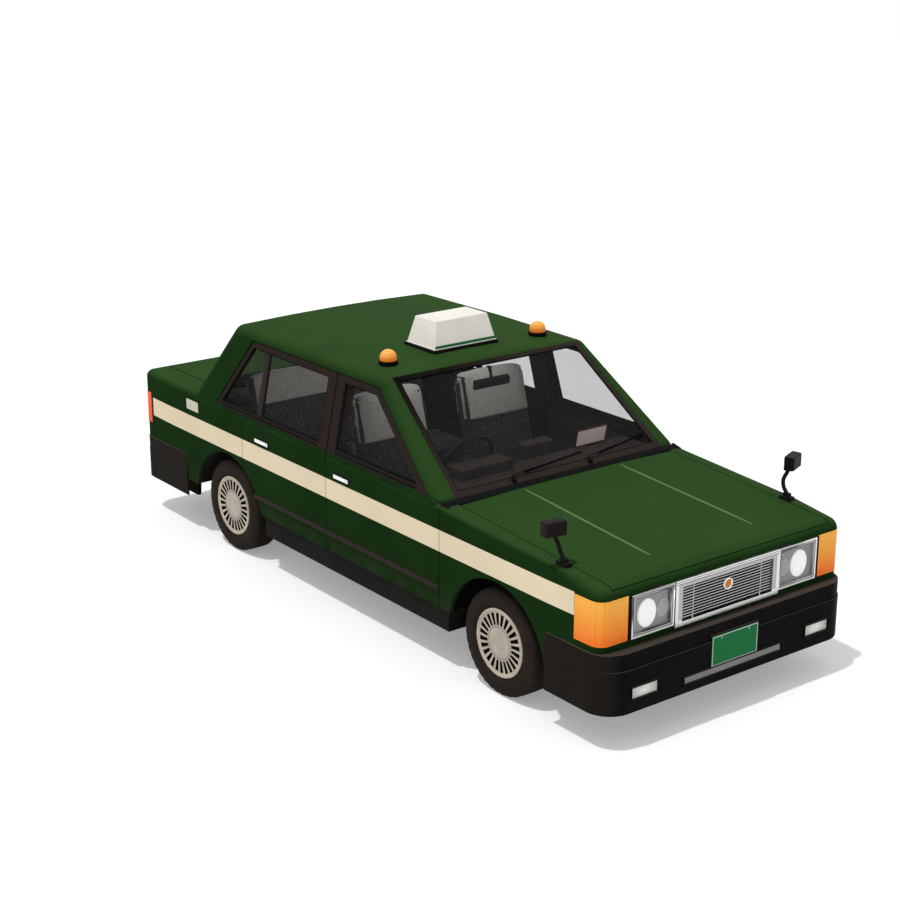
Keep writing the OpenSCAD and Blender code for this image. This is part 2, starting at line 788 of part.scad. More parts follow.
// Centre of the steering wheel, and the column's rise above the horizontal.
wheel_hub = [screen_base_x - 420, -front_seat_y, belt_z + 10];
column_rake = 26;
shaft_r = 12;

module on_column() translate(wheel_hub) rotate([0, column_rake - 90, 0]) children();

// Shroud and shaft, from the dashboard's face to the hub.
module steering_column() color([0.1, 0.1, 0.1]) difference() {
    on_column() translate([0, 0, -150]) {
        cylinder(r = 34, h = 110);
        cylinder(r = shaft_r, h = 140);
    }
    across(-dash_y, dash_y) dash_outline();
    dash_hood();
}

module steering_wheel() color([0.08, 0.08, 0.08]) on_column() {
    rotate_extrude($fn = 96) translate([180, 0]) circle(r = 13, $fn = 24);
    difference() {
        translate([0, 0, -34]) cylinder(r = 48, h = 44);
        translate([0, 0, -40]) cylinder(r = shaft_r + hub_clearance, h = 35);
    }
    for (a = [90, -90, 180]) rotate([0, 0, a]) translate([40, -16, -8]) cube([134, 32, 10]);
}

module seat_back(x, z, y0, y1, h, t) translate([x, 0, z]) rotate([0, -14, 0]) box([-t, y0, 0], [0, y1, h]);

module front_seats() color([0.3, 0.3, 0.34]) for (s = [LEFT, RIGHT]) on_side(s) {
    x = screen_base_x - 983;
    y0 = front_seat_y - 240;
    y1 = front_seat_y + 285;
    low = floor_z + 178;
    top = low + 130;
    box([x, y0, low], [x + 510, y1, top]);
    box([x + 40, y0 + 40, floor_z + floor_t], [x + 470, y1 - 40, low]);
    difference() {
        seat_back(x + 40, top - 25, y0 + 5, y1 - 5, 738, 120);
        box([x, 0, 0], [x + 570, FAR, top]);
    }
}

// Cushion and back, narrower where the wheelhouses stand beside them.
module rear_seat() color([0.3, 0.3, 0.34]) {
    front_x = rear_axle_x + 560;
    back_foot_x = rear_axle_x + 70;
    between = wheelhouse_in_y - 8;
    low = boot_floor_z + floor_t;
    top = low + 134;
    box([rear_axle_x + arch_r + plate_t + 6, -seat_y, low], [front_x, seat_y, top]);
    box([back_foot_x, -between, low], [front_x, between, top]);
    difference() {
        seat_back(rear_axle_x + 110, top - 30, -seat_y, seat_y, 608, 120);
        box([back_foot_x, -FAR, 0], [0, FAR, top]);
        box([-FAR, -FAR, 0], [rear_axle_x - 168, FAR, FAR]);
        for (s = [LEFT, RIGHT]) on_side(s)
            box([-FAR, between, 0], [0, FAR, axle_z - arch_drop + arch_r + plate_t + 6]);
    }
}

// ---- Running gear ----

module engine_block() color([0.35, 0.35, 0.36])
    box([front_axle_x - 330, -190, floor_z + 45], [front_axle_x + 350, 190, nose_z - 108]);

module front_suspension() color([0.1, 0.1, 0.1]) {
    // The crossmember meets the rails' inner sides, and the arms go out from its ends.
    end_y = rail_in_y - 1;
    arm_z = floor_z - 57;
    arm_t = 22;
    box([front_axle_x - 60, -end_y, floor_z - 50], [front_axle_x + 60, end_y, floor_z]);
    for (s = [LEFT, RIGHT]) on_side(s) {
        box([front_axle_x - 60, end_y - 74, floor_z], [front_axle_x + 60, end_y, floor_z + 60]);
        box([front_axle_x - 30, 120, floor_z], [front_axle_x + 30, 180, floor_z + 45]);
        box([front_axle_x - 140, end_y, arm_z], [front_axle_x + 40, kingpin_y - 5, arm_z + arm_t]);
        translate([front_axle_x, kingpin_y - 80, arm_z + arm_t])
            cylinder(r = 30, h = shelf_z - arm_z - arm_t);
    }
}

module rear_axle() color([0.1, 0.1, 0.1]) translate([rear_axle_x, 0, axle_z]) {
    rod_y(axle_tube_r, -(kingpin_y + 20), kingpin_y + 20);
    sphere(r = 112);
    for (s = [LEFT, RIGHT]) on_side(s) {
        rod_y(stub_r, kingpin_y, tyre_out_y - 60);
        box([-480, wheelhouse_in_y - 68, -20], [480, wheelhouse_in_y - 8, 10]);
        translate([-120, wheelhouse_in_y - 38, 0]) cylinder(r = 24, h = boot_floor_z - axle_z);
    }
}

module exhaust() color([0.3, 0.3, 0.3]) translate([0, -250, 205]) {
    box_x = rear_axle_x + 470;
    translate([back_x + 60, 0, 0]) rotate([0, 90, 0]) cylinder(r = 24, h = firewall_x + 130 - back_x - 60);
    translate([box_x - 330, 0, 0]) rotate([0, 90, 0]) cylinder(r = 72, h = 330);
}

module fuel_tank() color([0.1, 0.1, 0.1])
    box([rear_axle_x - 730, -180, boot_floor_z - 190], [rear_axle_x - 250, 370, boot_floor_z]);

// One front wheel's carrier, turning on the steering axis.
module knuckle(s) color([0.2, 0.2, 0.2]) on_side(s) translate([front_axle_x, kingpin_y, axle_z]) {
    translate([0, 0, -62]) cylinder(r = 22, h = 150);
    rod_y(stub_r, 0, tyre_out_y - 60 - kingpin_y);
    translate([-130, -20, -40]) cube([130, 24, 20]);
}

module tyre(x, s) color([0.07, 0.06, 0.06]) on_side(s) translate([x, tyre_in_y, axle_z])
    rotate([-90, 0, 0]) rotate_extrude($fn = 96) polygon([
        [rim_r, 12], [rim_r + 25, 0], [tyre_r - 40, 4], [tyre_r - 8, 22], [tyre_r, 34],
        [tyre_r, tyre_w - 34], [tyre_r - 8, tyre_w - 22], [tyre_r - 40, tyre_w - 4],
        [rim_r + 25, tyre_w], [rim_r, tyre_w - 12]
    ]);

module wheel(x, s) color([0.6, 0.57, 0.52]) on_side(s) translate([x, tyre_in_y, axle_z])
    rotate([-90, 0, 0]) rotate_extrude($fn = 96) polygon([
        [stub_r + hub_clearance, 20], [48, 20], [48, tyre_w - 44], [rim_r - 14, tyre_w - 30],
        [rim_r - 14, 14], [rim_r, 14], [rim_r, tyre_w - 12], [rim_r - 6, tyre_w - 6],
        [rim_r - 40, tyre_w - 10], [70, tyre_w - 12], [0, tyre_w - 4],
        [0, tyre_w - 40], [stub_r + hub_clearance, tyre_w - 40]
    ]);

// ---- On the outside ----

module roof_sign() color([0.95, 0.94, 0.9]) {
    z = roof_height + 13;
    // Trapezoid box, smaller at its top.
    hull() {
        box([-182, -226, z], [91, 226, z + 4]);
        box([-150, -190, z + 152], [55, 190, z + 157]);
    }
    difference() {
        box([-200, -240, roof_height - 30], [104, 240, z]);
        greenhouse();
    }
}

module roof_lamps() color([1, 0.55, 0.1]) for (s = [LEFT, RIGHT]) translate([0, s * 557, roof_height]) {
    translate([87, 0, 0]) intersection() {
        translate([0, 0, 22]) sphere(r = 50);
        cylinder(r = 60, h = 80);
    }
    difference() {
        translate([87, 0, -30]) cylinder(r = 57, h = 34);
        translate([0, -s * 557, -roof_height]) greenhouse();
    }
}

module fender_mirrors() color([0.07, 0.06, 0.06]) for (s = [LEFT, RIGHT]) on_side(s) {
    x = face_x - 341;
    foot_y = bonnet_half + 24;
    joint = [x - 42, foot_y + 4, nose_z + 90];
    difference() {
        box([x - 28, foot_y - 21, nose_z], [x + 28, foot_y + 23, nose_z + 42]);
        lower_body();
    }
    hull() {
        translate([x, foot_y, nose_z + 40]) sphere(r = 9, $fn = 20);
        translate(joint) sphere(r = 9, $fn = 20);
    }
    hull() {
        translate(joint) sphere(r = 9, $fn = 20);
        translate([x - 36, 855, nose_z + 185]) sphere(r = 9, $fn = 20);
    }
    box([x - 50, 795, nose_z + 180], [x + 8, 925, nose_z + 262]);
}

floor_pan();
firewall();
inner_fenders();
frame_rails();
rear_floor();
wheelhouses();
rear_bulkhead();
roof_panel();
b_pillars();
front_fender(LEFT);  // front_fender_left
front_fender(RIGHT);  // front_fender_right
rear_quarter(LEFT);  // rear_quarter_left
rear_quarter(RIGHT);  // rear_quarter_right
front_panel();
front_bumper();
rear_bumper();
grille();
headlamps();
corner_lamps();
tail_lamps();
windscreen();
rear_window();
dashboard();
steering_column();
front_seats();
rear_seat();
engine_block();
front_suspension();
rear_axle();
exhaust();
fuel_tank();
roof_sign();
roof_lamps();
fender_mirrors();
bonnet();
boot_lid();
front_door(LEFT);  // front_door_left
front_door(RIGHT);  // front_door_right
rear_door(LEFT);  // rear_door_left
rear_door(RIGHT);  // rear_door_right
front_door_glass(LEFT);  // front_door_glass_left
front_door_glass(RIGHT);  // front_door_glass_right
rear_door_glass(LEFT);  // rear_door_glass_left
rear_door_glass(RIGHT);  // rear_door_glass_right
knuckle(LEFT);  // knuckle_left
knuckle(RIGHT);  // knuckle_right
steering_wheel();
tyre(front_axle_x, LEFT);  // tyre_front_left
tyre(front_axle_x, RIGHT);  // tyre_front_right
tyre(rear_axle_x, LEFT);  // tyre_rear_left
tyre(rear_axle_x, RIGHT);  // tyre_rear_right
wheel(front_axle_x, LEFT);  // wheel_front_left
wheel(front_axle_x, RIGHT);  // wheel_front_right
wheel(rear_axle_x, LEFT);  // wheel_rear_left
wheel(rear_axle_x, RIGHT);  // wheel_rear_right
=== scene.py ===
"""Looks of a four-door sedan taxi: finishes for its CAD parts, and its trim, lamps, wheels and cabin.

Lengths are in metres, in the frame: +X the car's nose, +Y its left, +Z up, origin on the ground.
"""
import json
import math

import bmesh
import bpy
from mathutils import Matrix, Vector
from mathutils.bvhtree import BVHTree

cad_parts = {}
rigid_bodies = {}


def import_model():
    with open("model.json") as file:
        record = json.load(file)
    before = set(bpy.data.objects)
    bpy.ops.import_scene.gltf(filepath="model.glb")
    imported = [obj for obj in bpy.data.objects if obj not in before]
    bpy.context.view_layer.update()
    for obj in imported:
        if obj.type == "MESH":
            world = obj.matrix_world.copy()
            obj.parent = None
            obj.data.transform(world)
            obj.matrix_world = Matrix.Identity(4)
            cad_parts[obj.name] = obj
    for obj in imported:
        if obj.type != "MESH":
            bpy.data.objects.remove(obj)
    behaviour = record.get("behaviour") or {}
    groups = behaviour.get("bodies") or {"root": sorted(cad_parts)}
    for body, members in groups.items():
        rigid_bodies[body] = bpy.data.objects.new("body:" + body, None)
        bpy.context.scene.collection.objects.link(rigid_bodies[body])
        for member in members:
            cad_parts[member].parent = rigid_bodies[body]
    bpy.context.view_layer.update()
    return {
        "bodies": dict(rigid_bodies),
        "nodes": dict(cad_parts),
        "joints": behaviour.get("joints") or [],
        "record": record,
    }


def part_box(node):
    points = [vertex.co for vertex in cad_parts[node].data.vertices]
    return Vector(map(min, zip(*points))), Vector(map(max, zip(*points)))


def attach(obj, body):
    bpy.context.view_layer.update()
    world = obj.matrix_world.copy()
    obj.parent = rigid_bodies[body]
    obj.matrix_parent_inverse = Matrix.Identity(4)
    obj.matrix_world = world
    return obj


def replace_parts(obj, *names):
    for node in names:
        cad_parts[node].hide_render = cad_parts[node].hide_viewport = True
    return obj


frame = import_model()
NODES = frame["nodes"]
SIDES = (("left", 1), ("right", -1))
X, Y, Z = Vector((1, 0, 0)), Vector((0, 1, 0)), Vector((0, 0, 1))

BODY_SIDE = 0.8795       # half the width over the doors' faces
CABIN_FLOOR = 0.2865     # top of the floor pan
TUNNEL_TOP = 0.3925
RAISED_FLOOR = 0.4565    # top of the floor under the rear seat and in the boot
WHEEL_FACE = 0.0925      # from a wheel's middle to its outer face
SHARP_ANGLE = math.radians(32)
SUN_POWER = 1.7
SKY_POWER = 0.55
FLOOR_LIFT = 0.28        # light that the floor adds for the camera alone
CABIN_POWER = 2.8


def add(name, data):
    """A new object in the scene."""
    obj = bpy.data.objects.new(name, data)
    bpy.context.scene.collection.objects.link(obj)
    return obj


# ---- Camera ----

def make_camera():
    """The photo's view."""
    data = bpy.data.cameras.new("camera")
    data.lens, data.sensor_width = 71.21, 36
    camera = add("camera", data)
    azimuth, fall = math.radians(142.556), math.radians(17.922)
    look = Vector((math.cos(fall) * math.cos(azimuth), math.cos(fall) * math.sin(azimuth),
                   -math.sin(fall)))
    camera.location = (8.1125, -6.2585, 4.1332)
    camera.rotation_euler = look.to_track_quat("-Z", "Y").to_euler()
    bpy.context.scene.camera = camera


make_camera()
bpy.context.scene.view_settings.view_transform = "Standard"


# ---- Node materials ----

class Shade:
    """One node material. Its calls add nodes and return the socket that holds their result."""

    def __init__(self, name, **sockets):
        self.material = bpy.data.materials.new(name)
        self.material.use_nodes = True
        self.tree = self.material.node_tree
        self.surface = self.tree.nodes["Principled BSDF"]
        self.output = self.tree.nodes["Material Output"]
        self.place = self.new("TexCoord").outputs["Object"]
        split = self.new("SeparateXYZ", {0: self.place})
        self.x, self.y, self.z = split.outputs
        facing = self.new("SeparateXYZ", {0: self.new("TexCoord").outputs["Normal"]}).outputs
        self.side, self.up = facing[1], facing[2]
        for key, value in sockets.items():
            self.put(self.surface.inputs[key.replace("_", " ")], value)

    def new(self, kind, inputs=None, **settings):
        node = self.tree.nodes.new("ShaderNode" + kind)
        for key, value in settings.items():
            setattr(node, key, value)
        for key, value in (inputs or {}).items():
            self.put(node.inputs[key], value)
        return node

    def put(self, socket, value):
        if isinstance(value, bpy.types.NodeSocket):
            self.tree.links.new(value, socket)
        elif socket.type == "RGBA":
            socket.default_value = (*value[:3], 1)
        else:
            socket.default_value = value

    def math(self, operation, a, b=0.0, c=0.0):
        return self.new("Math", {0: a, 1: b, 2: c}, operation=operation).outputs[0]

    def size(self, value):
        return self.math("ABSOLUTE", value)

    def past(self, value, edge, soft=0.0005):
        """0 below the edge and 1 above it."""
        limits = {0: value, 1: edge - soft, 2: edge + soft}
        return self.new("MapRange", limits, interpolation_type="SMOOTHSTEP").outputs[0]

    def below(self, value, edge, soft=0.0005):
        """1 below the edge and 0 above it."""
        return self.past(self.math("MULTIPLY", value, -1.0), -edge, soft)

    def unless(self, mask):
        """1 where the mask is 0."""
        return self.math("SUBTRACT", 1.0, mask)

    def within(self, value, low, high, soft=0.0005):
        """1 between two edges and 0 outside them."""
        return self.math("SUBTRACT", self.past(value, low, soft), self.past(value, high, soft))

    def both(self, *masks):
        """1 where every mask is 1."""
        result = masks[0]
        for mask in masks[1:]:
            result = self.math("MULTIPLY", result, mask)
        return result

    def either(self, a, b):
        return self.math("MAXIMUM", a, b)

    def noise(self, scale, detail=3.0):
        """Noise fixed to the object's own place, so that no two parts are alike."""
        return self.new("TexNoise", {"Vector": self.place, "Scale": scale, "Detail": detail}).outputs[0]

    def cloud(self, scale, detail=4.0, soft=0.25):
        """Soft patches between 0 and 1."""
        return self.past(self.noise(scale, detail), 0.5, soft)

    def cells(self, scale, stretch=None):
        """Distance from the middles of small cells."""
        place = self.place
        if stretch:
            place = self.new("VectorMath", {0: place, 1: stretch}, operation="MULTIPLY").outputs[0]
        return self.new("TexVoronoi", {"Vector": place, "Scale": scale}).outputs["Distance"]

    def blend(self, share, a, b):
        return self.new("Mix", {0: share, 6: a, 7: b}, data_type="RGBA").outputs[2]

    def tones(self, share, color, dark, pale):
        """A colour that runs from darker to paler than its mean."""
        return self.blend(share, [v * dark for v in color], [min(1, v * pale) for v in color])

    def lines(self, value, pitch, width):
        """1 on thin lines that repeat each pitch along value."""
        wave = self.math("PINGPONG", value, pitch / 2)
        return self.unless(self.past(wave, width, width * 0.4))

    def color(self, socket):
        self.put(self.surface.inputs["Base Color"], socket)

    def glow(self, color, strength):
        """A little light of the surface's own, for what the sky lights through it."""
        self.put(self.surface.inputs["Emission Color"], color)
        self.surface.inputs["Emission Strength"].default_value = strength

    def rough(self, share, swing, least):
        """Roughness that goes up by swing from its least as share goes from 0 to 1."""
        self.put(self.surface.inputs["Roughness"], self.math("MULTIPLY_ADD", share, swing, least))

    def bump(self, height, distance):
        """Adds relief on top of the relief that's already there."""
        before = self.surface.inputs["Normal"]
        node = self.new("Bump", {"Height": height, "Distance": distance})
        if before.is_linked:
            self.tree.links.new(before.links[0].from_socket, node.inputs["Normal"])
        self.tree.links.new(node.outputs[0], before)

    def mottled(self, color, spread=0.12, scale=5.0, grain=900.0, depth=0.00012, rough=0.5, swing=0.12):
        """A base colour that varies slowly, with fine grain and a roughness to match."""
        slow, fine = self.noise(scale, 5.0), self.noise(grain, 2.0)
        tone = self.math("ADD", self.math("MULTIPLY", slow, 0.75), self.math("MULTIPLY", fine, 0.25))
        shade = self.past(tone, 0.5, 0.22)
        self.color(self.blend(shade, *([v * k for v in color] for k in (1 - spread, 1 + spread))))
        self.rough(shade, swing, rough - swing / 2)
        self.bump(fine, depth)


def plain(name, color, rough=0.5, **more):
    """A mottled finish. Capitalised words are the shader's sockets."""
    sockets = {"Specular_IOR_Level": 0.05}
    sockets.update({key: more.pop(key) for key in list(more) if key[0].isupper()})
    s = Shade(name, **sockets)
    s.mottled(color, rough=rough, **more)
    return s.material


GREEN = (0.0098, 0.0315, 0.0078)
# Paler green for faces that look up: painted light from the sun and sky on the body's tops.
TOP_LIGHT_GREEN = (0.0270, 0.0668, 0.0164)
CREAM = (0.87, 0.745, 0.53)
FRAME_BROWN = (0.0285, 0.0205, 0.0180)
NEAR_BLACK = (0.0065, 0.0062, 0.0068)
SILL_BLACK = (0.0075, 0.0050, 0.0030)


def body_paint(name, door=False, lining=None, lined=False):
    """Green over the whole body, paler on its upward faces as painted light from above, with the cream
    stripe along its sides and the dark sill below.

    A door also gets its brown window frame and dark inner face, lining colours the roof's underside,
    and lined darkens what faces the cabin.
    """
    s = Shade(name, Specular_IOR_Level=0.0015)
    slow, fine = s.noise(2.2, 4.0), s.noise(420.0, 2.0)
    tone = s.past(slow, 0.5, 0.25)
    green, painted_top_light = s.tones(tone, GREEN, 0.86, 1.14), s.tones(tone, TOP_LIGHT_GREEN, 0.90, 1.10)
    # Faces that look up take the paler green: painted light from above.
    green = s.blend(s.past(s.up, 0.55, 0.45), green, painted_top_light)
    cream = s.tones(tone, CREAM, 0.95, 1.03)
    across = s.size(s.y)
    stripe = s.both(s.within(s.z, 0.675, 0.798), s.within(s.x, -2.192, 2.082), s.past(across, 0.8565))
    color = s.blend(stripe, green, cream)
    dust = s.both(s.below(s.z, 0.42, 0.12), s.cloud(9.0, 6.0, 0.2))
    color = s.blend(s.math("MULTIPLY", dust, 0.35), color, (0.05, 0.042, 0.03))
    sill = s.below(s.z, 0.342)
    color = s.blend(sill, color, SILL_BLACK)
    rough = s.math("MULTIPLY_ADD", tone, 0.10, 0.40)
    dull = sill
    if door:
        above = s.past(s.z, 0.9575)
        inside = s.below(across, 0.8505)
        dull = s.either(dull, s.either(above, s.both(inside, s.unless(above))))
        color = s.blend(inside, color, (0.018, 0.017, 0.017))
        color = s.blend(above, color, FRAME_BROWN)
    if lining:
        under = s.both(s.below(s.up, -0.5, 0.1), s.past(s.z, 1.2))
        color = s.blend(under, color, lining)
    if lined:
        inward = s.both(s.below(s.math("MULTIPLY", s.y, s.side), -0.25, 0.1), s.past(s.z, 0.90))
        color = s.blend(inward, color, (0.045, 0.041, 0.038))
    s.color(color)
    s.rough(dull, 0.25, rough)
    s.bump(slow, 0.0015)
    s.bump(fine, 0.00003)
    return s.material


def bumper_plastic():
    """Black plastic, with painted light on its upward faces, and greyer along the sides."""
    s = Shade("bumper_plastic", Specular_IOR_Level=0.012)
    slow, fine = s.noise(4.0, 4.0), s.noise(1300.0, 2.0)
    tone = s.past(slow, 0.5, 0.25)
    face = s.blend(tone, (0.0056, 0.0054, 0.0060), (0.0090, 0.0084, 0.0086))
    side = s.blend(s.past(s.size(s.y), 0.80, 0.04), face, (0.0155, 0.0130, 0.0110))
    # Upward faces take a paler brown: painted light from above.
    s.color(s.blend(s.past(s.up, 0.55, 0.25), side, (0.060, 0.048, 0.040)))
    s.rough(tone, 0.12, 0.42)
    s.bump(fine, 0.0001)
    return s.material


def lens(name, low_color, high_color, low, high, glow, rear=False):
    """A moulded lamp lens with a fine square grid, paler towards its top.

    The rear lamps also have an amber and a white field towards the middle of the car.
    """
    s = Shade(name, Specular_IOR_Level=0.12)
    rise = s.new("MapRange", {0: s.z, 1: low, 2: high}).outputs[0]
    around = s.math("ADD", s.x, s.size(s.y))
    grid = s.either(s.lines(s.z, 0.026, 0.0011), s.lines(around, 0.020, 0.0011))
    color = s.blend(rise, low_color, high_color)
    cloud = s.math("MULTIPLY", s.cloud(14.0, 3.0, 0.3), 0.12)
    color = s.blend(cloud, color, high_color)
    if rear:
        inner = s.unless(s.past(s.size(s.y), 0.604))
        turn = s.past(s.z, 0.7265)
        color = s.blend(s.both(inner, turn), color, (0.92, 0.34, 0.04))
        color = s.blend(s.both(inner, s.unless(turn)), color, (0.80, 0.78, 0.74))
    s.color(s.blend(s.math("MULTIPLY", grid, 0.35), color, [v * 0.6 for v in low_color]))
    s.glow(color, glow)
    s.rough(grid, 0.25, 0.28)
    s.bump(grid, -0.0006)
    s.bump(s.cells(260.0), 0.0002)
    return s.material


def fabric(name, dark, pale, pitch, depth, figure=0.0):
    """Woven cloth: crossing threads, a mottled tone, and a figure if it has one."""
    s = Shade(name, Specular_IOR_Level=0.15, Sheen_Weight=0.15, Sheen_Roughness=0.6)
    over = s.math("ADD", s.x, s.math("MULTIPLY", s.z, 0.7))
    weave = s.either(s.math("PINGPONG", over, pitch / 2), s.math("PINGPONG", s.y, pitch / 2))
    thread = s.math("DIVIDE", weave, pitch / 2)
    blot, fleck = s.noise(60.0, 4.0), s.noise(420.0, 2.0)
    tone = s.past(s.math("ADD", s.math("MULTIPLY", blot, 0.5), s.math("MULTIPLY", fleck, 0.5)), 0.5, 0.16)
    color = s.blend(tone, dark, pale)
    if figure:
        marks = s.past(s.cells(48.0, stretch=(1, 1.6, 1)), 0.42, 0.08)
        color = s.blend(s.math("MULTIPLY", marks, figure), color, [v * 0.5 for v in dark])
    s.color(s.blend(s.math("MULTIPLY", thread, 0.25), color, [v * 0.7 for v in dark]))
    s.rough(tone, 0.08, 0.84)
    s.bump(thread, depth)
    s.bump(s.noise(30.0, 3.0), 0.002)
    return s.material


def tinted_glass(name, color, alpha):
    """Glass that veils what is behind it by alpha."""
    s = Shade(name, Specular_IOR_Level=0.015)
    smear = s.cloud(3.0, 5.0, 0.3)
    s.color(s.blend(smear, color, [v * 1.12 for v in color]))
    s.put(s.surface.inputs["Alpha"], s.math("MULTIPLY_ADD", smear, 0.02, alpha))
    s.rough(smear, 0.05, 0.06)
    return s.material


def metal(name, color, rough, depth=0.00004):
    """Metal with faint streaks and cloudy reflections."""
    s = Shade(name, Metallic=1.0)
    streak, cloud = s.noise(160.0, 4.0), s.cloud(7.0)
    s.color(s.tones(cloud, color, 0.9, 1.05))
    s.rough(s.math("ADD", streak, cloud), 0.08, rough - 0.08)
    s.bump(streak, depth)
    return s.material


def grille_finish():
    """Bright frame round duller bars."""
    s = Shade("chrome_grille", Metallic=1.0, Roughness=0.3)
    bars = s.both(s.below(s.size(s.y), 0.356), s.within(s.z, 0.575, 0.772))
    cloud = s.cloud(7.0)
    frame = s.blend(cloud, (0.64, 0.635, 0.63), (0.74, 0.735, 0.73))
    s.color(s.blend(bars, frame, (0.40, 0.395, 0.39)))
    s.rough(cloud, 0.08, 0.26)
    s.bump(s.noise(160.0, 4.0), 0.00004)
    return s.material


def fog_glass():
    """Ribbed clear glass, brightest in front of its bulb."""
    s = Shade("fog_glass", Specular_IOR_Level=0.1)
    lamp_y, lamp_z = 0.626, 0.300
    across, rise = s.math("SUBTRACT", s.size(s.y), lamp_y), s.math("SUBTRACT", s.z, lamp_z)
    reach = s.math("SQRT", s.math("ADD", s.math("MULTIPLY", across, across),
                                  s.math("MULTIPLY", s.math("MULTIPLY", rise, rise), 4.0)))
    heart = s.unless(s.past(reach, 0.045, 0.045))
    cloud = s.cloud(11.0)
    color = s.blend(cloud, (0.50, 0.51, 0.47), (0.62, 0.63, 0.58))
    color = s.blend(heart, color, (0.86, 0.87, 0.83))
    s.color(color)
    s.glow(color, 0.10)
    s.rough(cloud, 0.1, 0.28)
    s.bump(s.noise(700.0, 2.0), 0.00005)
    return s.material


def tyre_rubber():
    """Brownish black rubber."""
    s = Shade("tyre_rubber", Specular_IOR_Level=0.04)
    slow = s.cloud(8.0, 5.0)
    s.color(s.blend(slow, (0.0160, 0.0122, 0.0096), (0.0275, 0.0212, 0.0168)))
    s.rough(slow, 0.12, 0.68)
    s.bump(s.noise(700.0, 3.0), 0.00015)
    return s.material


def cover_finish():
    """Cream paint on a pressed steel wheel cover."""
    s = Shade("wheel_cover_paint", Specular_IOR_Level=0.15)
    slow = s.cloud(12.0)
    s.color(s.blend(slow, (0.45, 0.395, 0.315), (0.58, 0.51, 0.41)))
    s.rough(slow, 0.1, 0.36)
    s.bump(s.noise(500.0, 2.0), 0.00005)
    return s.material


def sign_finish():
    """A cream plastic lamp box on a black base plate."""
    s = Shade("sign_white", Specular_IOR_Level=0.1)
    slow = s.cloud(9.0)
    white = s.blend(slow, (0.85, 0.82, 0.745), (0.90, 0.875, 0.805))
    base_top = 1.4972
    lit = s.both(s.past(s.z, base_top), s.unless(s.past(s.up, 0.6, 0.2)))
    s.glow(s.blend(lit, (0, 0, 0), (1, 0.96, 0.88)), 0.07)
    s.color(s.blend(s.past(s.z, base_top), NEAR_BLACK, white))
    s.rough(slow, 0.1, 0.40)
    s.bump(s.noise(500.0, 2.0), 0.00005)
    return s.material


PLATE_HALF = 0.167       # half a plate's width, and its height
PLATE_FOOT = {"front": 0.290, "rear": 0.690}


def plate_face(name, low_z):
    """A blank green plate with a pale line just inside its edge."""
    s = Shade(name, Specular_IOR_Level=0.05)
    high_z, margin, line_width = low_z + PLATE_HALF, 0.007, 0.004

    def field(inset_by):
        return s.both(s.below(s.size(s.y), PLATE_HALF - inset_by),
                      s.within(s.z, low_z + inset_by, high_z - inset_by))

    inner = field(margin)
    line = s.math("SUBTRACT", field(margin - line_width), inner)
    slow = s.cloud(25.0)
    s.color(s.blend(line, s.tones(slow, (0.0125, 0.185, 0.056), 0.93, 1.05), (0.80, 0.80, 0.76)))
    s.rough(slow, 0.1, 0.38)
    s.bump(line, 0.0006)
    s.bump(s.noise(600.0, 2.0), 0.00004)
    return s.material


PAINT = body_paint("green_paint")
QUARTER_PAINT = body_paint("green_paint_quarter", lined=True)
ROOF_PAINT = body_paint("green_paint_roof", lining=(0.16, 0.155, 0.145))
DOOR_PAINT = body_paint("green_paint_door", door=True)
BUMPER = bumper_plastic()
AMBER = lens("lens_amber", (0.90, 0.165, 0.012), (0.98, 0.46, 0.065), 0.56, 0.76, 0.14)
RED = lens("lens_red", (0.78, 0.055, 0.018), (0.92, 0.125, 0.045), 0.63, 0.81, 0.16, rear=True)
GLASS = tinted_glass("glass_tinted", (0.036, 0.036, 0.034), 0.162)
CLEAR = tinted_glass("glass_clear", (0.5, 0.52, 0.53), 0.05)
CHROME = metal("chrome_bright", (0.72, 0.715, 0.71), 0.30)
BRIGHT = metal("chrome_polished", (0.86, 0.86, 0.855), 0.28)
SATIN = metal("chrome_satin", (0.28, 0.27, 0.265), 0.38)
STEEL = metal("steel_raw", (0.20, 0.19, 0.18), 0.5, depth=0.0002)
MIRROR = metal("mirror_silver", (0.80, 0.82, 0.83), 0.10)
BROWN = plain("frame_brown", FRAME_BROWN, 0.62, depth=0.0001)
BLACK = plain("trim_black", NEAR_BLACK, 0.52, spread=0.2, Specular_IOR_Level=0.02)
RUBBER = plain("rubber_black", (0.008, 0.0075, 0.0075), 0.72, grain=1400.0, Specular_IOR_Level=0.02)
MIRROR_BLACK = plain("mirror_black", (0.0125, 0.0095, 0.0090), 0.48, spread=0.2)
UNDERBODY = plain("underbody_coat", (0.013, 0.012, 0.011), 0.82, spread=0.3, grain=260.0, depth=0.0012)
CHASSIS = plain("chassis_black", (0.018, 0.017, 0.016), 0.6, spread=0.3, scale=14.0, depth=0.0002)
ENGINE = plain("engine_cast", (0.09, 0.09, 0.088), 0.55, spread=0.25, scale=16.0, grain=420.0,
               depth=0.0004, Metallic=0.6)
RUSTY = plain("exhaust_rust", (0.085, 0.055, 0.04), 0.7, spread=0.4, scale=22.0, grain=500.0,
              depth=0.0003, Metallic=0.5)
DASH = plain("dash_moulding", (0.0400, 0.0315, 0.0285), 0.66, spread=0.15, grain=1100.0, depth=0.0003)
CABIN_BLACK = plain("cabin_plastic", (0.0195, 0.0175, 0.0170), 0.55, spread=0.15, grain=1000.0,
                    depth=0.0002)
TRIM_VINYL = plain("door_vinyl", (0.0340, 0.0320, 0.0310), 0.6, spread=0.12, grain=520.0, depth=0.0004)
MAT = plain("mat_rubber", (0.0210, 0.0200, 0.0205), 0.85, spread=0.3, scale=30.0, grain=800.0,
            depth=0.0006)
SIGN = sign_finish()
SIGN_GREEN = plain("sign_green", (0.022, 0.17, 0.065), 0.45)
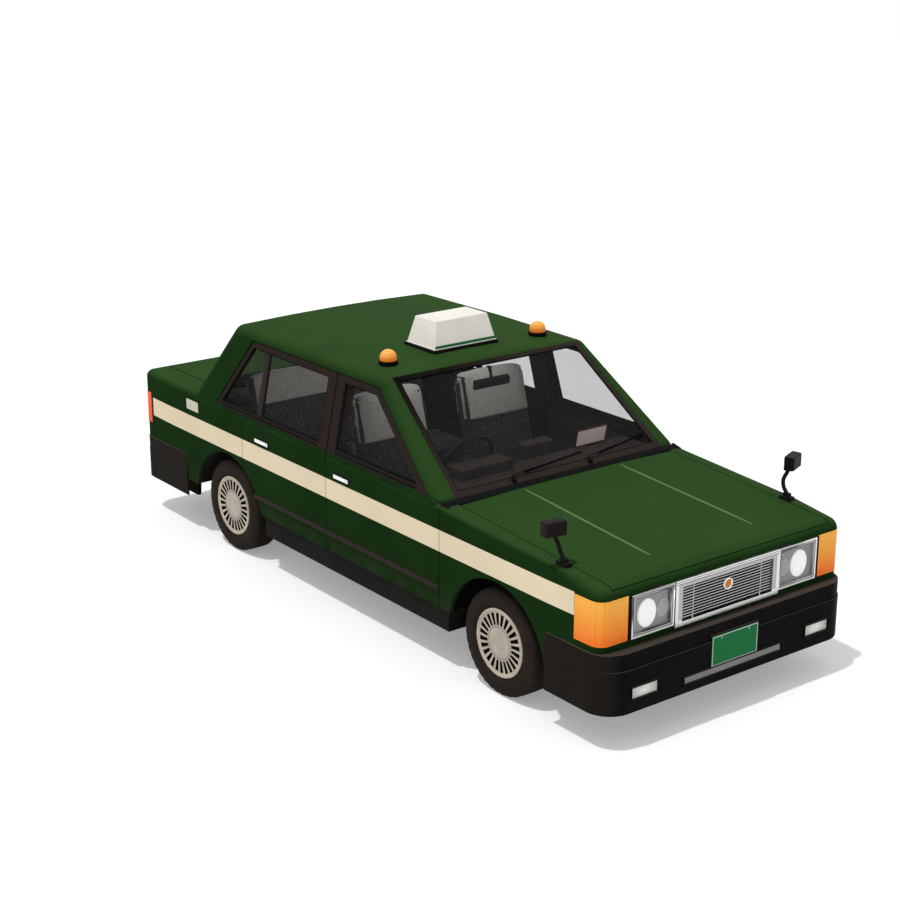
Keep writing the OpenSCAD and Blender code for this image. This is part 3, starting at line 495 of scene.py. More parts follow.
STICKER = plain("sticker_cream", (0.66, 0.64, 0.52), 0.5, spread=0.04)
SIGN_PALE = plain("dash_sign_pale", (0.88, 0.78, 0.75), 0.5, spread=0.03, Emission_Color=(1, 0.86, 0.82),
                  Emission_Strength=0.12)
SIGN_RED = plain("dash_sign_red", (0.62, 0.09, 0.07), 0.5, spread=0.05)
PANEL_GREY = plain("lamp_panel_grey", (0.36, 0.37, 0.375), 0.42, spread=0.12)
LAMP_GREY = plain("lamp_grey", (0.50, 0.505, 0.51), 0.3, spread=0.15)
LAMP_WHITE = plain("lamp_white", (0.86, 0.87, 0.85), 0.22, spread=0.04, Coat_Weight=0.3,
                   Emission_Color=(1, 1, 0.98), Emission_Strength=0.40)
GRILLE = grille_finish()
FOG = fog_glass()
SLAT = metal("chrome_slat", (0.46, 0.455, 0.45), 0.32)
ORANGE = plain("badge_orange", (0.80, 0.24, 0.03), 0.35)
TYRE = tyre_rubber()
COVER = cover_finish()
SEAT = fabric("seat_fabric", (0.0420, 0.0500, 0.0530), (0.1080, 0.1230, 0.1260), 0.006, 0.0006, 0.75)
SEAT_SIDE = plain("seat_vinyl", (0.062, 0.057, 0.050), 0.6, spread=0.15, grain=600.0, depth=0.0004)
COVER_CLOTH = fabric("cover_cloth", (0.51, 0.50, 0.46), (0.77, 0.76, 0.705), 0.0035, 0.0004)
# Paler than the body paint: a painted highlight along the bonnet's creases.
BEAD_HIGHLIGHT_GREEN = plain("green_bead", (0.110, 0.190, 0.070), 0.45, spread=0.1)
PLATE = plate_face("plate_green", PLATE_FOOT["front"])
REAR_PLATE = plate_face("plate_green_rear", PLATE_FOOT["rear"])
# A reflector is no lamp: its glow is painted light.
REFLECTOR = lens("reflector_red", (0.45, 0.02, 0.01), (0.60, 0.04, 0.02), 0.29, 0.34, 0.04)
BATTERY = plain("battery_case", (0.10, 0.10, 0.105), 0.4)
CASTING = plain("valve_cover_paint", (0.030, 0.034, 0.040), 0.42, spread=0.2, grain=300.0, depth=0.0002)
DOME = lens("lens_dome", (0.90, 0.20, 0.015), (0.98, 0.47, 0.10), 1.488, 1.55, 0.16)
BOTTLE = plain("tank_white", (0.55, 0.56, 0.53), 0.35, Alpha=0.9)


# ---- Modifiers ----

def make_smoothing():
    """Geometry nodes that shade a mesh smooth and keep its edges over 32 degrees sharp."""
    group = bpy.data.node_groups.new("smooth_by_angle", "GeometryNodeTree")
    for way in ("INPUT", "OUTPUT"):
        group.interface.new_socket("Geometry", in_out=way, socket_type="NodeSocketGeometry")
    start, end = group.nodes.new("NodeGroupInput"), group.nodes.new("NodeGroupOutput")
    faces, edges = (group.nodes.new("GeometryNodeSetShadeSmooth") for _ in range(2))
    faces.domain, edges.domain = "FACE", "EDGE"
    faces.inputs["Shade Smooth"].default_value = True
    edges.inputs["Shade Smooth"].default_value = False
    angle = group.nodes.new("GeometryNodeInputMeshEdgeAngle")
    sharp = group.nodes.new("FunctionNodeCompare")
    sharp.data_type, sharp.operation = "FLOAT", "GREATER_THAN"
    sharp.inputs[1].default_value = SHARP_ANGLE
    link = group.links.new
    link(start.outputs[0], faces.inputs["Geometry"])
    link(faces.outputs[0], edges.inputs["Geometry"])
    link(angle.outputs["Unsigned Angle"], sharp.inputs[0])
    link(sharp.outputs[0], edges.inputs["Selection"])
    link(edges.outputs[0], end.inputs[0])
    return group


SMOOTHING = make_smoothing()


def soften(obj, bevel=0.0):
    """Bevels the sharp edges if a width is given, and shades the rest smooth."""
    if bevel:
        edge = obj.modifiers.new("bevel", "BEVEL")
        edge.limit_method, edge.angle_limit = "ANGLE", math.radians(35)
        edge.width, edge.segments = bevel, 2
    obj.modifiers.new("smooth", "NODES").node_group = SMOOTHING
    even = obj.modifiers.new("normals", "WEIGHTED_NORMAL")
    even.keep_sharp = True
    even.weight = 50


def dress(material, *names, bevel=0.0022):
    """Gives CAD nodes a material and softened edges."""
    for name in names:
        obj = NODES[name]
        for slot in obj.material_slots:
            slot.material = material
        weld = obj.modifiers.new("weld", "WELD")
        weld.merge_threshold = 0.00002
        soften(obj, bevel)


# ---- Mesh building ----

class Kit:
    """Gathers shapes, each with its own material, into one piece."""

    def __init__(self):
        self.mesh = bmesh.new()
        self.materials = []

    def loft(self, rings, material, caps=True, wrap=True):
        """Quads between rings of equally many points, with flat caps."""
        if material not in self.materials:
            self.materials.append(material)
        index = self.materials.index(material)
        rows = [[self.mesh.verts.new(p) for p in ring] for ring in rings]
        count = len(rows[0])
        made = []
        for a, b in zip(rows, rows[1:]):
            for i in range(count if wrap else count - 1):
                j = (i + 1) % count
                made.append(self.mesh.faces.new((a[i], a[j], b[j], b[i])))
        if caps:
            made += [self.mesh.faces.new(rows[0][::-1]), self.mesh.faces.new(rows[-1])]
        for face in made:
            face.material_index = index

    def prism(self, outline, way, material):
        """A flat outline of points carried along a vector."""
        way = Vector(way)
        self.loft([[Vector(p) for p in outline], [Vector(p) + way for p in outline]], material)

    def box(self, low, high, material, turn=None, about=None):
        """A box between two corners, which may be turned about a point."""
        (x0, y0, z0), (x1, y1, z1) = low, high
        corners = ((x0, y0), (x1, y0), (x1, y1), (x0, y1))
        rings = [[Vector((x, y, z)) for x, y in corners] for z in (z0, z1)]
        if turn:
            centre = Vector(about)
            rings = [[turn @ (p - centre) + centre for p in ring] for ring in rings]
        self.loft(rings, material)

    def lathe(self, centre, axis, profile, material, steps=48, caps=False, tall=1.0):
        """Turns (radius, distance along the axis) pairs about an axis, stretched upwards by tall."""
        axis = Vector(axis).normalized()
        side = (Y if abs(axis.y) < 0.9 else X)
        side = (side - axis * side.dot(axis)).normalized()
        other = axis.cross(side)
        turns = [2 * math.pi * i / steps for i in range(steps)]
        rings = [[Vector(centre) + axis * d + (side * math.cos(t) + other * math.sin(t) * tall) * r
                  for t in turns] for r, d in profile]
        self.loft(rings, material, caps=caps)

    def disc(self, centre, axis, profile, material, steps=48, tall=1.0):
        """A lathe that is closed at both ends."""
        self.lathe(centre, axis, profile, material, steps, caps=True, tall=tall)

    def tube(self, path, radius, material, steps=12):
        """A round bar along points; radius is one number or one for each point."""
        path = [Vector(p) for p in path]
        radii = radius if isinstance(radius, (list, tuple)) else [radius] * len(path)
        side = None
        rings = []
        for i, (point, r) in enumerate(zip(path, radii)):
            along = (path[min(i + 1, len(path) - 1)] - path[max(i - 1, 0)]).normalized()
            side = along.orthogonal() if side is None else side - along * side.dot(along)
            side.normalize()
            other = along.cross(side)
            rings.append([point + (side * math.cos(t) + other * math.sin(t)) * r
                          for t in (2 * math.pi * k / steps for k in range(steps))])
        self.loft(rings, material)

    def as_object(self, name):
        """The shapes as one object, as they are."""
        data = bpy.data.meshes.new(name)
        self.mesh.to_mesh(data)
        self.mesh.free()
        for material in self.materials:
            data.materials.append(material)
        return add(name, data)

    def done(self, name, body="body", bevel=0.0, replaces=()):
        """Makes the piece, with its edges softened, on its body."""
        bmesh.ops.remove_doubles(self.mesh, verts=self.mesh.verts, dist=1e-6)
        bmesh.ops.recalc_face_normals(self.mesh, faces=self.mesh.faces)
        obj = self.as_object(name)
        soften(obj, bevel)
        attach(obj, body)
        if replaces:
            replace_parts(obj, *replaces)
        return obj


def surface(obj):
    """An object's own mesh as a tree for casting rays."""
    return BVHTree.FromPolygons([v.co for v in obj.data.vertices],
                                [p.vertices for p in obj.data.polygons])


def arc(points, steps=8):
    """A smooth path through points (Catmull-Rom)."""
    points = [Vector(p) for p in points]
    points = [points[0] * 2 - points[1], *points, points[-1] * 2 - points[-2]]
    path = []
    for a, b, c, d in zip(points, points[1:], points[2:], points[3:]):
        for k in range(steps):
            t = k / steps
            path.append(0.5 * ((2 * b) + (c - a) * t + (2 * a - 5 * b + 4 * c - d) * t * t
                               + (3 * b - a - 3 * c + d) * t ** 3))
    return path + [points[-2]]


def inset(corners, widths, normal):
    """Corners of a flat outline moved in from each edge by that edge's width."""
    corners, normal = [Vector(c) for c in corners], Vector(normal).normalized()
    middle = sum(corners, Vector()) / len(corners)
    ways, inward = [], []
    for i, corner in enumerate(corners):
        way = (corners[(i + 1) % len(corners)] - corner).normalized()
        into = normal.cross(way)
        inward.append(into if into.dot(middle - corner) > 0 else -into)
        ways.append(way)
    moved = []
    for i, corner in enumerate(corners):
        before, after = inward[i - 1], inward[i]
        a, b, c = widths[i - 1], widths[i], before.dot(after)
        second = (b - c * a) / (1 - c * c)
        moved.append(corner + before * (a - c * second) + after * second)
    return moved


def ring(kit, corners, widths, normal, low, high, material):
    """A flat frame between low and high along the normal, inside an outline."""
    inner = inset(corners, widths, normal)
    normal = Vector(normal).normalized()
    outer = [Vector(c) for c in corners]
    for i in range(len(outer)):
        j = (i + 1) % len(outer)
        section = [outer[i], outer[j], inner[j], inner[i]]
        kit.loft([[p + normal * low for p in section], [p + normal * high for p in section]], material)
    return inner


# ---- Finishes of the CAD parts ----

dress(PAINT, "front_fender_left", "front_fender_right", "front_panel", "bonnet", "boot_lid")
dress(QUARTER_PAINT, "rear_quarter_left", "rear_quarter_right")
dress(ROOF_PAINT, "roof_panel")
dress(DOOR_PAINT, "front_door_left", "front_door_right", "rear_door_left", "rear_door_right")
dress(BROWN, "b_pillars")
dress(BUMPER, "front_bumper", "rear_bumper", bevel=0.003)
dress(UNDERBODY, "floor_pan", "firewall", "inner_fenders", "frame_rails", "rear_floor", "wheelhouses",
      "rear_bulkhead")
dress(CHASSIS, "front_suspension", "rear_axle", "fuel_tank", "knuckle_left", "knuckle_right")
dress(ENGINE, "engine_block")
dress(RUSTY, "exhaust")
dress(GRILLE, "grille", bevel=0.0012)
dress(AMBER, "corner_lamps")
dress(RED, "tail_lamps")
dress(GLASS, "windscreen", "rear_window", "front_door_glass_left", "front_door_glass_right",
      "rear_door_glass_left", "rear_door_glass_right", bevel=0.0)
dress(DASH, "dashboard", bevel=0.004)
dress(CABIN_BLACK, "steering_column")
dress(SIGN, "roof_sign", bevel=0.004)


# ---- Wheels ----

def tyre(name, centre, side, body, node):
    """Tread blocks between round grooves, ribbed shoulders and a rounded sidewall."""
    steps, tread, rim, half = 144, 0.299, 0.190, WHEEL_FACE
    across = [(-half + 0.0005, rim + 0.026), (-half, rim + 0.045), (-0.0905, rim + 0.066),
              (-0.082, 0.288),
              (-0.0745, 0.2945), (-0.066, 0.2975), (-0.040, tread - 0.0006), (-0.037, 0.291),
              (-0.033, 0.291), (-0.030, tread), (-0.009, tread), (-0.006, 0.291)]
    profile = [(rim - 0.004, -0.078), (rim, -0.079)] + [(r, d) for d, r in across]
    profile += [(r, -d) for r, d in reversed(profile)]
    kit = Kit()
    rings = []
    for radius, offset in profile:
        shoulder = 0.286 < radius and abs(offset) > 0.041
        points = []
        for i in range(steps):
            angle = 2 * math.pi * i / steps
            r = radius - (0.0045 if shoulder and i % 4 == 0 else 0.0)
            points.append(Vector((centre.x + r * math.cos(angle), centre.y + side * offset,
                                  centre.z + r * math.sin(angle))))
        rings.append(points)
    kit.loft(rings + [rings[0]], TYRE, caps=False)
    kit.done(name, body, replaces=[node])


def wheel(name, centre, side, body, node):
    """A pressed cover with 24 slots round a domed centre, on a plain rim."""
    slots, shares, slot_depth = 24, (0.0, 0.20, 0.225, 0.775, 0.80), 0.011
    profile = [(0.190, -0.012, 0), (0.1895, -0.006, 0), (0.186, -0.0045, 0), (0.178, -0.0055, 0),
               (0.1745, -0.0085, 0), (0.166, -0.0095, 0), (0.1655, -0.0095, 0), (0.162, -0.0100, 1),
               (0.103, -0.0085, 1), (0.0995, -0.0080, 0), (0.094, -0.0075, 0), (0.091, -0.0100, 0),
               (0.087, -0.0100, 0), (0.084, -0.0075, 0), (0.074, -0.0055, 0), (0.052, -0.0046, 0),
               (0.040, -0.0044, 0), (0.038, -0.0056, 0), (0.036, -0.0056, 0), (0.034, -0.0043, 0),
               (0.018, -0.0042, 0), (0.004, -0.0042, 0)]
    kit = Kit()
    rings = []
    for radius, depth, slotted in profile:
        points = []
        for k in range(slots):
            for share in shares:
                angle = 2 * math.pi * (k + share) / slots
                drop = slot_depth if slotted and 0.21 < share < 0.79 else 0.0
                points.append(centre + Vector((radius * math.cos(angle),
                                               side * (WHEEL_FACE + depth - drop),
                                               radius * math.sin(angle))))
        rings.append(points)
    kit.loft(rings, COVER, caps=False)
    kit.mesh.verts.ensure_lookup_table()
    kit.mesh.faces.new(kit.mesh.verts[-len(rings[0]):])
    # Black slot floors and a darker satin groove ring: painted shade standing for the dark inside the
    # slots and the groove.
    kit.materials += [BLACK, SATIN]
    sunk = WHEEL_FACE - 0.0105
    for face in kit.mesh.faces:
        middle = face.calc_center_median() - centre
        reach = math.hypot(middle.x, middle.z)
        in_slot = 0.0990 < reach < 0.1655 and any(side * (v.co.y - centre.y) < sunk for v in face.verts)
        in_groove = 0.0800 < reach < 0.0935
        face.material_index = 1 if in_slot else 2 if in_groove else 0
    rim = [(0.190, WHEEL_FACE - 0.012), (0.190, -0.0785), (0.176, -0.0785), (0.172, -0.05),
           (0.166, -0.04),
           (0.166, 0.030), (0.120, 0.046), (0.062, 0.030), (0.052, 0.030), (0.052, -0.060)]
    kit.lathe(centre, Y * side, rim, STEEL, steps=slots * len(shares))
    kit.done(name, body, replaces=[node])


for end in ("front", "rear"):
    for hand, sign in SIDES:
        low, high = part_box(f"tyre_{end}_{hand}")
        hub = (low + high) / 2
        tyre(f"tread_{end}_{hand}", hub, sign, f"wheel_{end}_{hand}", f"tyre_{end}_{hand}")
        wheel(f"cover_{end}_{hand}", hub, sign, f"wheel_{end}_{hand}", f"wheel_{end}_{hand}")


# ---- Window frames, seals, cowl and wipers ----

def screen_frames():
    """The brown frames and rubbers of the windscreen and the rear window."""
    slope = Vector((0.6, 0, 0.8))
    corners = [(0.9845, -0.759, 0.9455), (0.9845, 0.759, 0.9455), (0.3025, 0.684, 1.457),
               (0.3025, -0.684, 1.457)]
    kit = Kit()
    inner = ring(kit, corners, (0.042, 0.034, 0.030, 0.034), slope, -0.008, -0.0005, BROWN)
    ring(kit, inner, (0.007,) * 4, slope, -0.008, -0.003, RUBBER)
    kit.done("windscreen_frame", bevel=0.0015)
    low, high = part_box("rear_window")
    rise = Vector((high.x - low.x, 0, high.z - low.z)).normalized()
    out = Vector((-rise.z, 0, rise.x))
    foot, head = Vector((low.x, 0, low.z + 0.0028)), Vector((high.x - 0.0041, 0, high.z))
    corners = [foot - Y * 0.700, foot + Y * 0.700, head + Y * 0.612, head - Y * 0.612]
    kit = Kit()
    inner = ring(kit, corners, (0.034, 0.032, 0.030, 0.032), out, 0.0002, 0.0075, BROWN)
    ring(kit, inner, (0.007,) * 4, out, 0.0002, 0.005, RUBBER)
    kit.done("rear_window_frame", bevel=0.0015)


# The upright between the rear door's panes: its x range at the foot and at the head, depth and finish.
DIVIDER = (((-0.881, -0.828), (-0.900, -0.854), 0.0075, BROWN),
           ((-0.829, -0.810), (-0.855, -0.838), 0.0035, RUBBER))


def side_seals():
    """A rubber round each side glass, and the upright between the rear door's two panes."""
    lean = math.radians(14)
    for hand, sign in SIDES:
        out = Vector((0, sign * math.cos(lean), math.sin(lean)))
        for end, low_x, high_x in (("front", (-0.017, 0.7763), (-0.038, 0.2688)),
                                   ("rear", (-1.2931, -0.187), (-1.032, -0.208))):
            corners = [(low_x[0], sign * 0.8542, 0.985), (low_x[1], sign * 0.8542, 0.985),
                       (high_x[1], sign * 0.7592, 1.366), (high_x[0], sign * 0.7592, 1.366)]
            kit = Kit()
            ring(kit, corners, (0.009,) * 4, out, 0.0002, 0.0065, RUBBER)
            belt = [Vector((x, sign * 0.8628, 0.962)) for x in (low_x[0] + 0.01, low_x[1] - 0.01)]
            kit.prism([belt[0] - Z * 0.004, belt[1] - Z * 0.004, belt[1] + Z * 0.014 + Y * sign * 0.004,
                       belt[0] + Z * 0.014 + Y * sign * 0.004], Y * sign * 0.008, RUBBER)
            if end == "rear":
                for low_end, high_end, depth, finish in DIVIDER:
                    foot = [Vector((x, sign * 0.8535, 0.9875)) for x in low_end]
                    head = [Vector((x, sign * 0.7605, 1.3600)) for x in reversed(high_end)]
                    kit.prism([*foot, *head], out * depth, finish)
            kit.done(f"{end}_window_seal_{hand}", f"{end}_door_{hand}", bevel=0.0012)


def cowl():
    """The black louvred strip between the windscreen and the bonnet."""
    kit = Kit()
    section = [(0.9848, 0.9440), (0.9990, 0.9405), (1.0340, 0.9316), (1.0350, 0.9290), (1.0360, 0.9240),
               (1.0465, 0.9160), (1.0465, 0.9110), (0.9990, 0.9120), (0.9850, 0.9380)]
    kit.prism([(x, -0.8460, z) for x, z in section], Y * 1.692, BLACK)
    louvres = 84
    for i in range(louvres):
        y = -0.80 + 1.60 * i / (louvres - 1)
        kit.prism([(1.0050, y - 0.0035, 0.9392), (1.0325, y - 0.0035, 0.9322),
                   (1.0325, y - 0.0035, 0.9342), (1.0050, y - 0.0035, 0.9412)], Y * 0.007, BLACK)
    for sign in (-1, 1):
        kit.prism([(0.9800, sign * 0.8450, 0.9475), (1.0470, sign * 0.8450, 0.9320),
                   (1.0470, sign * 0.8450, 0.9180),
                   (0.9800, sign * 0.8450, 0.9330)], Y * sign * 0.0160, BLACK)
    kit.done("cowl_grille", bevel=0.0010)


def wipers():
    """Two parked arms with their blades along the foot of the windscreen."""
    slope, down, base = Vector((0.6, 0, 0.8)), Vector((0.8, 0, -0.6)), Vector((0.9845, 0, 0.9455))

    def at(y, up, off):
        """A point on the glass: across the car, up from the glass's foot, and off its face."""
        return base - down * up + Y * y + slope * off

    for name, foot_y, tip_y, foot_up, tip_up in (("wiper_right", -0.345, 0.195, 0.050, 0.088),
                                                 ("wiper_left", 0.215, 0.690, 0.050, 0.105)):
        kit = Kit()
        kit.disc(at(foot_y, 0.022, -0.0005), slope,
                 [(0.001, 0.0), (0.015, 0.0), (0.015, 0.012), (0.011, 0.018), (0.001, 0.019)], BLACK, 24)
        kit.tube([at(foot_y, 0.022, 0.010), at(foot_y - 0.010, foot_up - 0.012, 0.012),
                  at(foot_y + 0.012, foot_up, 0.014)], [0.0050, 0.0050, 0.0040], BLACK, 10)
        reach = tip_y - foot_y
        kit.tube(arc([at(foot_y + 0.012, foot_up, 0.014),
                      at(foot_y + reach * 0.3, foot_up + (tip_up - foot_up) * 0.3, 0.018),
                      at(foot_y + reach * 0.62, foot_up + (tip_up - foot_up) * 0.62, 0.013)], 5),
                 0.0028, BLACK, 8)
        start, end = at(foot_y + reach * 0.18, foot_up + 0.006, 0), at(tip_y, tip_up + 0.008, 0)
        way = (end - start).normalized()
        side = slope.cross(way)
        section = [side * -0.003 + slope * 0.0065, side * 0.003 + slope * 0.0065,
                   side * 0.0022 + slope * -0.0065, side * -0.0022 + slope * -0.0065]
        kit.loft([[start + p for p in section], [end + p for p in section]], RUBBER)
        kit.tube([start + slope * 0.009, start.lerp(end, 0.5) + slope * 0.013, end + slope * 0.009],
                 0.0020, BLACK, 8)
        for share in (0.06, 0.3, 0.7, 0.94):
            point = start.lerp(end, share)
            kit.tube([point + slope * 0.004, point + slope * 0.012], 0.0035, BLACK, 8)
        kit.done(name)


screen_frames()
side_seals()
cowl()
wipers()


# ---- Door furniture ----

def side_trim():
    """Each door's brown moulding and its handle."""
    for hand, sign in SIDES:
        for end, low, high, grip in (("front", -0.099, 0.987, (-0.005, 0.141)),
                                     ("rear", -0.898, -0.110, (-0.870, -0.722))):
            body = f"{end}_door_{hand}"
            kit = Kit()
            section = [(BODY_SIDE, 0.448), (0.8855, 0.449), (0.8885, 0.455), (0.8885, 0.472),
                       (0.8855, 0.478), (BODY_SIDE, 0.479)]
            kit.loft([[(low, sign * y, z) for y, z in section],
                      [(high - 1.5 * (y - BODY_SIDE), sign * y, z) for y, z in section]], BROWN)
            kit.done(f"{end}_moulding_{hand}", body, bevel=0.001)
            kit = Kit()
            back, front = grip
            kit.box((back - 0.006, sign * BODY_SIDE, 0.815), (front + 0.006, sign * 0.8812, 0.853), BLACK)
            kit.box((back, sign * 0.8810, 0.825), (front, sign * 0.8900, 0.847), BRIGHT)
            kit.disc((front - 0.020, sign * 0.8900, 0.836), Y * sign,
                     [(0.001, 0), (0.005, 0), (0.005, 0.0008), (0.001, 0.0008)], SATIN, 20)
            kit.done(f"{end}_handle_{hand}", body, bevel=0.0016)


side_trim()


def bonnet_beads():
    """Two raised lines that run along the bonnet, and sink into it at their ends, in a paler green that
    is a painted highlight.
    """
    tree, radius, sunk, swell = surface(NODES["bonnet"]), 0.0100, 0.0092, 0.0030
    kit = Kit()
    for sign in (1, -1):
        path = []
        for k in range(41):
            share = k / 40
            x, y = 1.075 + 1.005 * share, sign * (0.353 + 0.017 * share)
            top = tree.ray_cast(Vector((x, y, 3)), -Z)[0].z
            path.append(Vector((x, y, top - sunk + swell * min(1.0, share * 8, (1 - share) * 8))))
        # The beads wear the paler green: a painted highlight along each crease.
        kit.tube(path, radius, BEAD_HIGHLIGHT_GREEN, 14)
    kit.done("bonnet_beads", "bonnet")


def bonnet_frame():
    """Pressed ribs and the striker under the bonnet."""
    tree = surface(NODES["bonnet"])
    kit = Kit()
    section = ((-0.040, -0.0006), (-0.022, 0.0120), (0.022, 0.0120), (0.040, -0.0006))
    ribs = [[(1.12, -0.66), (1.12, 0.66)], [(2.10, -0.62), (2.10, 0.62)],
            [(1.15, -0.15), (2.08, -0.52)], [(1.15, 0.15), (2.08, 0.52)],
            [(1.15, -0.62), (2.08, -0.20)], [(1.15, 0.62), (2.08, 0.20)]]
    for start, end in ribs:
        start, end = Vector((*start, 0)), Vector((*end, 0))
        across = Z.cross(end - start).normalized()
        rings = []
        for k in range(25):
            spot = start.lerp(end, k / 24)
            skin = tree.ray_cast(Vector((spot.x, spot.y, 0.75)), Z)[0].z
            rings.append([spot + across * w + Z * (skin - d) for w, d in section])
        kit.loft(rings, PAINT)
    kit.tube([(2.135, -0.030, 0.842), (2.135, -0.030, 0.815), (2.135, 0.030, 0.815),
              (2.135, 0.030, 0.842)], 0.005, STEEL, 10)
    kit.done("bonnet_frame", "bonnet")


bonnet_beads()
bonnet_frame()


# ---- Lamps and grille ----

def headlamp(hand, sign):
    """A chrome frame round a grey panel with a large and a small round lamp behind clear glass."""
    low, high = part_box("headlamps")
    front = high.x
    y0, y1, z0, z1 = 0.377, 0.668, low.z, high.z
    kit = Kit()
    corners = [(front, sign * y0, z0), (front, sign * y1, z0), (front, sign * y1, z1),
               (front, sign * y0, z1)]
    inner = ring(kit, corners, (0.011,) * 4, X, -0.020, 0.0, CHROME)
    inner = ring(kit, inner, (0.006,) * 4, X, -0.022, -0.0035, SATIN)
    inner = ring(kit, inner, (0.004,) * 4, X, -0.024, -0.0012, CHROME)
    kit.box((front - 0.088, sign * (y0 + 0.002), z0 + 0.002),
            (front - 0.022, sign * (y1 - 0.002), z1 - 0.002), PANEL_GREY)
    r = 0.061
    kit.disc((front - 0.022, sign * 0.550, 0.662), X,
             [(r, -0.002), (r, 0.004), (r * 0.97, 0.0075), (r * 0.8, 0.0115), (r * 0.5, 0.0145),
              (r * 0.2, 0.0158), (0.001, 0.016)], LAMP_WHITE, 64, 1.24)
    r = 0.041
    kit.disc((front - 0.022, sign * 0.440, 0.665), X,
             [(r, -0.002), (r, 0.003), (r * 0.93, 0.0055), (r * 0.84, 0.003), (r * 0.6, 0.0045),
              (r * 0.55, 0.0075), (r * 0.48, 0.0045), (r * 0.26, 0.0060), (r * 0.22, 0.0095),
              (0.001, 0.0125)], LAMP_GREY, 64, 1.22)
    line, top, inner_y = 0.0035, inner[2].z, y0 + 0.023
    kit.box((front - 0.0215, sign * inner_y, top - 0.014),
            (front - 0.0195, sign * (y1 - 0.029), top - 0.014 + line), BLACK)
    kit.box((front - 0.0215, sign * inner_y, z0 + 0.030),
            (front - 0.0195, sign * (inner_y + line), top - 0.0105), BLACK)
    obj = kit.done(f"headlamp_{hand}", bevel=0.0012)
    cover = Kit()
    cover.box((front - 0.0060, sign * (y0 + 0.0205), z0 + 0.0205),
              (front - 0.0035, sign * (y1 - 0.0205), z1 - 0.0205), CLEAR)
    cover.done(f"headlamp_glass_{hand}")
    return obj


headlamp("left", 1)
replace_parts(headlamp("right", -1), "headlamps")


def grille_detail():
    """The dark panel behind the grille, its badge and top lines, and the strips by the lamps."""
    low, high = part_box("grille")
    kit = Kit()
    kit.box((low.x - 0.004, -0.372, low.z + 0.002), (low.x - 0.0005, 0.372, high.z - 0.004), BLACK)
    kit.done("grille_backing")
    kit = Kit()
    centre = (high.x - 0.010, 0, 0.688)
    kit.disc(centre, X, [(0.034, -0.022), (0.034, 0.0045), (0.031, 0.0085), (0.026, 0.0090),
                         (0.0225, 0.0065), (0.021, 0.0040), (0.001, 0.0040)], CHROME, 64)
    kit.disc(centre, X, [(0.0205, 0.0035), (0.0205, 0.0060), (0.017, 0.0085), (0.009, 0.0100),
                         (0.001, 0.0104)], ORANGE, 48)
    kit.done("grille_badge")
    kit = Kit()
    for z in (high.z - 0.012, high.z - 0.024):
        kit.box((high.x - 0.0005, low.y + 0.004, z), (high.x + 0.0015, high.y - 0.004, z + 0.004), SATIN)
    kit.done("grille_header_lines", bevel=0.0006)
    for hand, sign in SIDES:
        kit = Kit()
        kit.box((2.2500, sign * 0.6690, 0.556), (2.2725, sign * 0.6865, 0.788), BLACK)
        kit.done(f"lamp_strip_{hand}", bevel=0.001)


grille_detail()


def bumper_band(name, sign, start, corner_x, corner_y):
    """The bumper's upper band along the body's side, down to nothing round the corner."""
    way = 1 if corner_x > start else -1
    full, least = 0.8828 - corner_y, 0.8758 - corner_y
    outer = [(start, 0.8806), (start + way * 0.004, 0.8828)]
    outer += [(start + (corner_x - start) * k / 8, 0.8828) for k in range(1, 8)]
    for k in range(13):
        angle, r = math.radians(5 * k), full + (least - full) * (k / 12) ** 2
        outer.append((corner_x + way * r * math.sin(angle), corner_y + r * math.cos(angle)))
    section = ((0, 0.4315), (0, 0.5160), (0.3, 0.5188), (1, 0.5188), (1, 0.4315))
    rings = []
    for i, (x, y) in enumerate(outer):
        depth = 0.0105
        back = Vector((corner_x - x, corner_y - y)).normalized() * depth if i > 8 else Vector((0, -depth))
        rings.append([(x + back.x * share, sign * (y + back.y * share), z) for share, z in section])
    kit = Kit()
    kit.loft(rings, BUMPER)
    kit.done(name)


def bumper_detail():
    """Fog lamps, the bright slats between them, and the bands along the sides."""
    for hand, sign in SIDES:
        kit = Kit()
        low, high = (2.3275, sign * 0.5385, 0.2705), (2.3375, sign * 0.7135, 0.3295)
        kit.box(low, high, FOG)
        for i in range(1, 12):
            y = sign * (0.5385 + 0.175 * i / 12)
            kit.box((2.3372, y - 0.0012, 0.274), (2.3386, y + 0.0012, 0.326), FOG)
        kit.done(f"fog_lamp_{hand}", bevel=0.0012)
    kit = Kit()
    for i in range(4):
        z = 0.2505 + 0.0092 * i
        kit.box((2.3285, -0.352, z), (2.3405, 0.352, z + 0.0040), SLAT)
    kit.done("bumper_slats", bevel=0.0008)
    for end, start, corner_x, corner_y in (("front", 1.8725, 2.1915, 0.7335),
                                           ("rear", -1.7485, -2.2275, 0.7635)):
        for hand, sign in SIDES:
            bumper_band(f"bumper_band_{end}_{hand}", sign, start, corner_x, corner_y)


def plate(name, x, facing, low_z, material, body="body"):
    """A blank number plate with its two bolts."""
    kit = Kit()
    kit.box((x, -PLATE_HALF, low_z), (x + facing * 0.003, PLATE_HALF, low_z + PLATE_HALF), material)
    for y, z in ((-0.1, 0.150), (0.1, 0.150)):
        kit.disc((x + facing * 0.0029, y, low_z + z), X * facing,
                 [(0.007, 0), (0.0065, 0.0012), (0.003, 0.0018), (0.001, 0.0018)], SATIN, 20)
    kit.done(name, body, bevel=0.001)


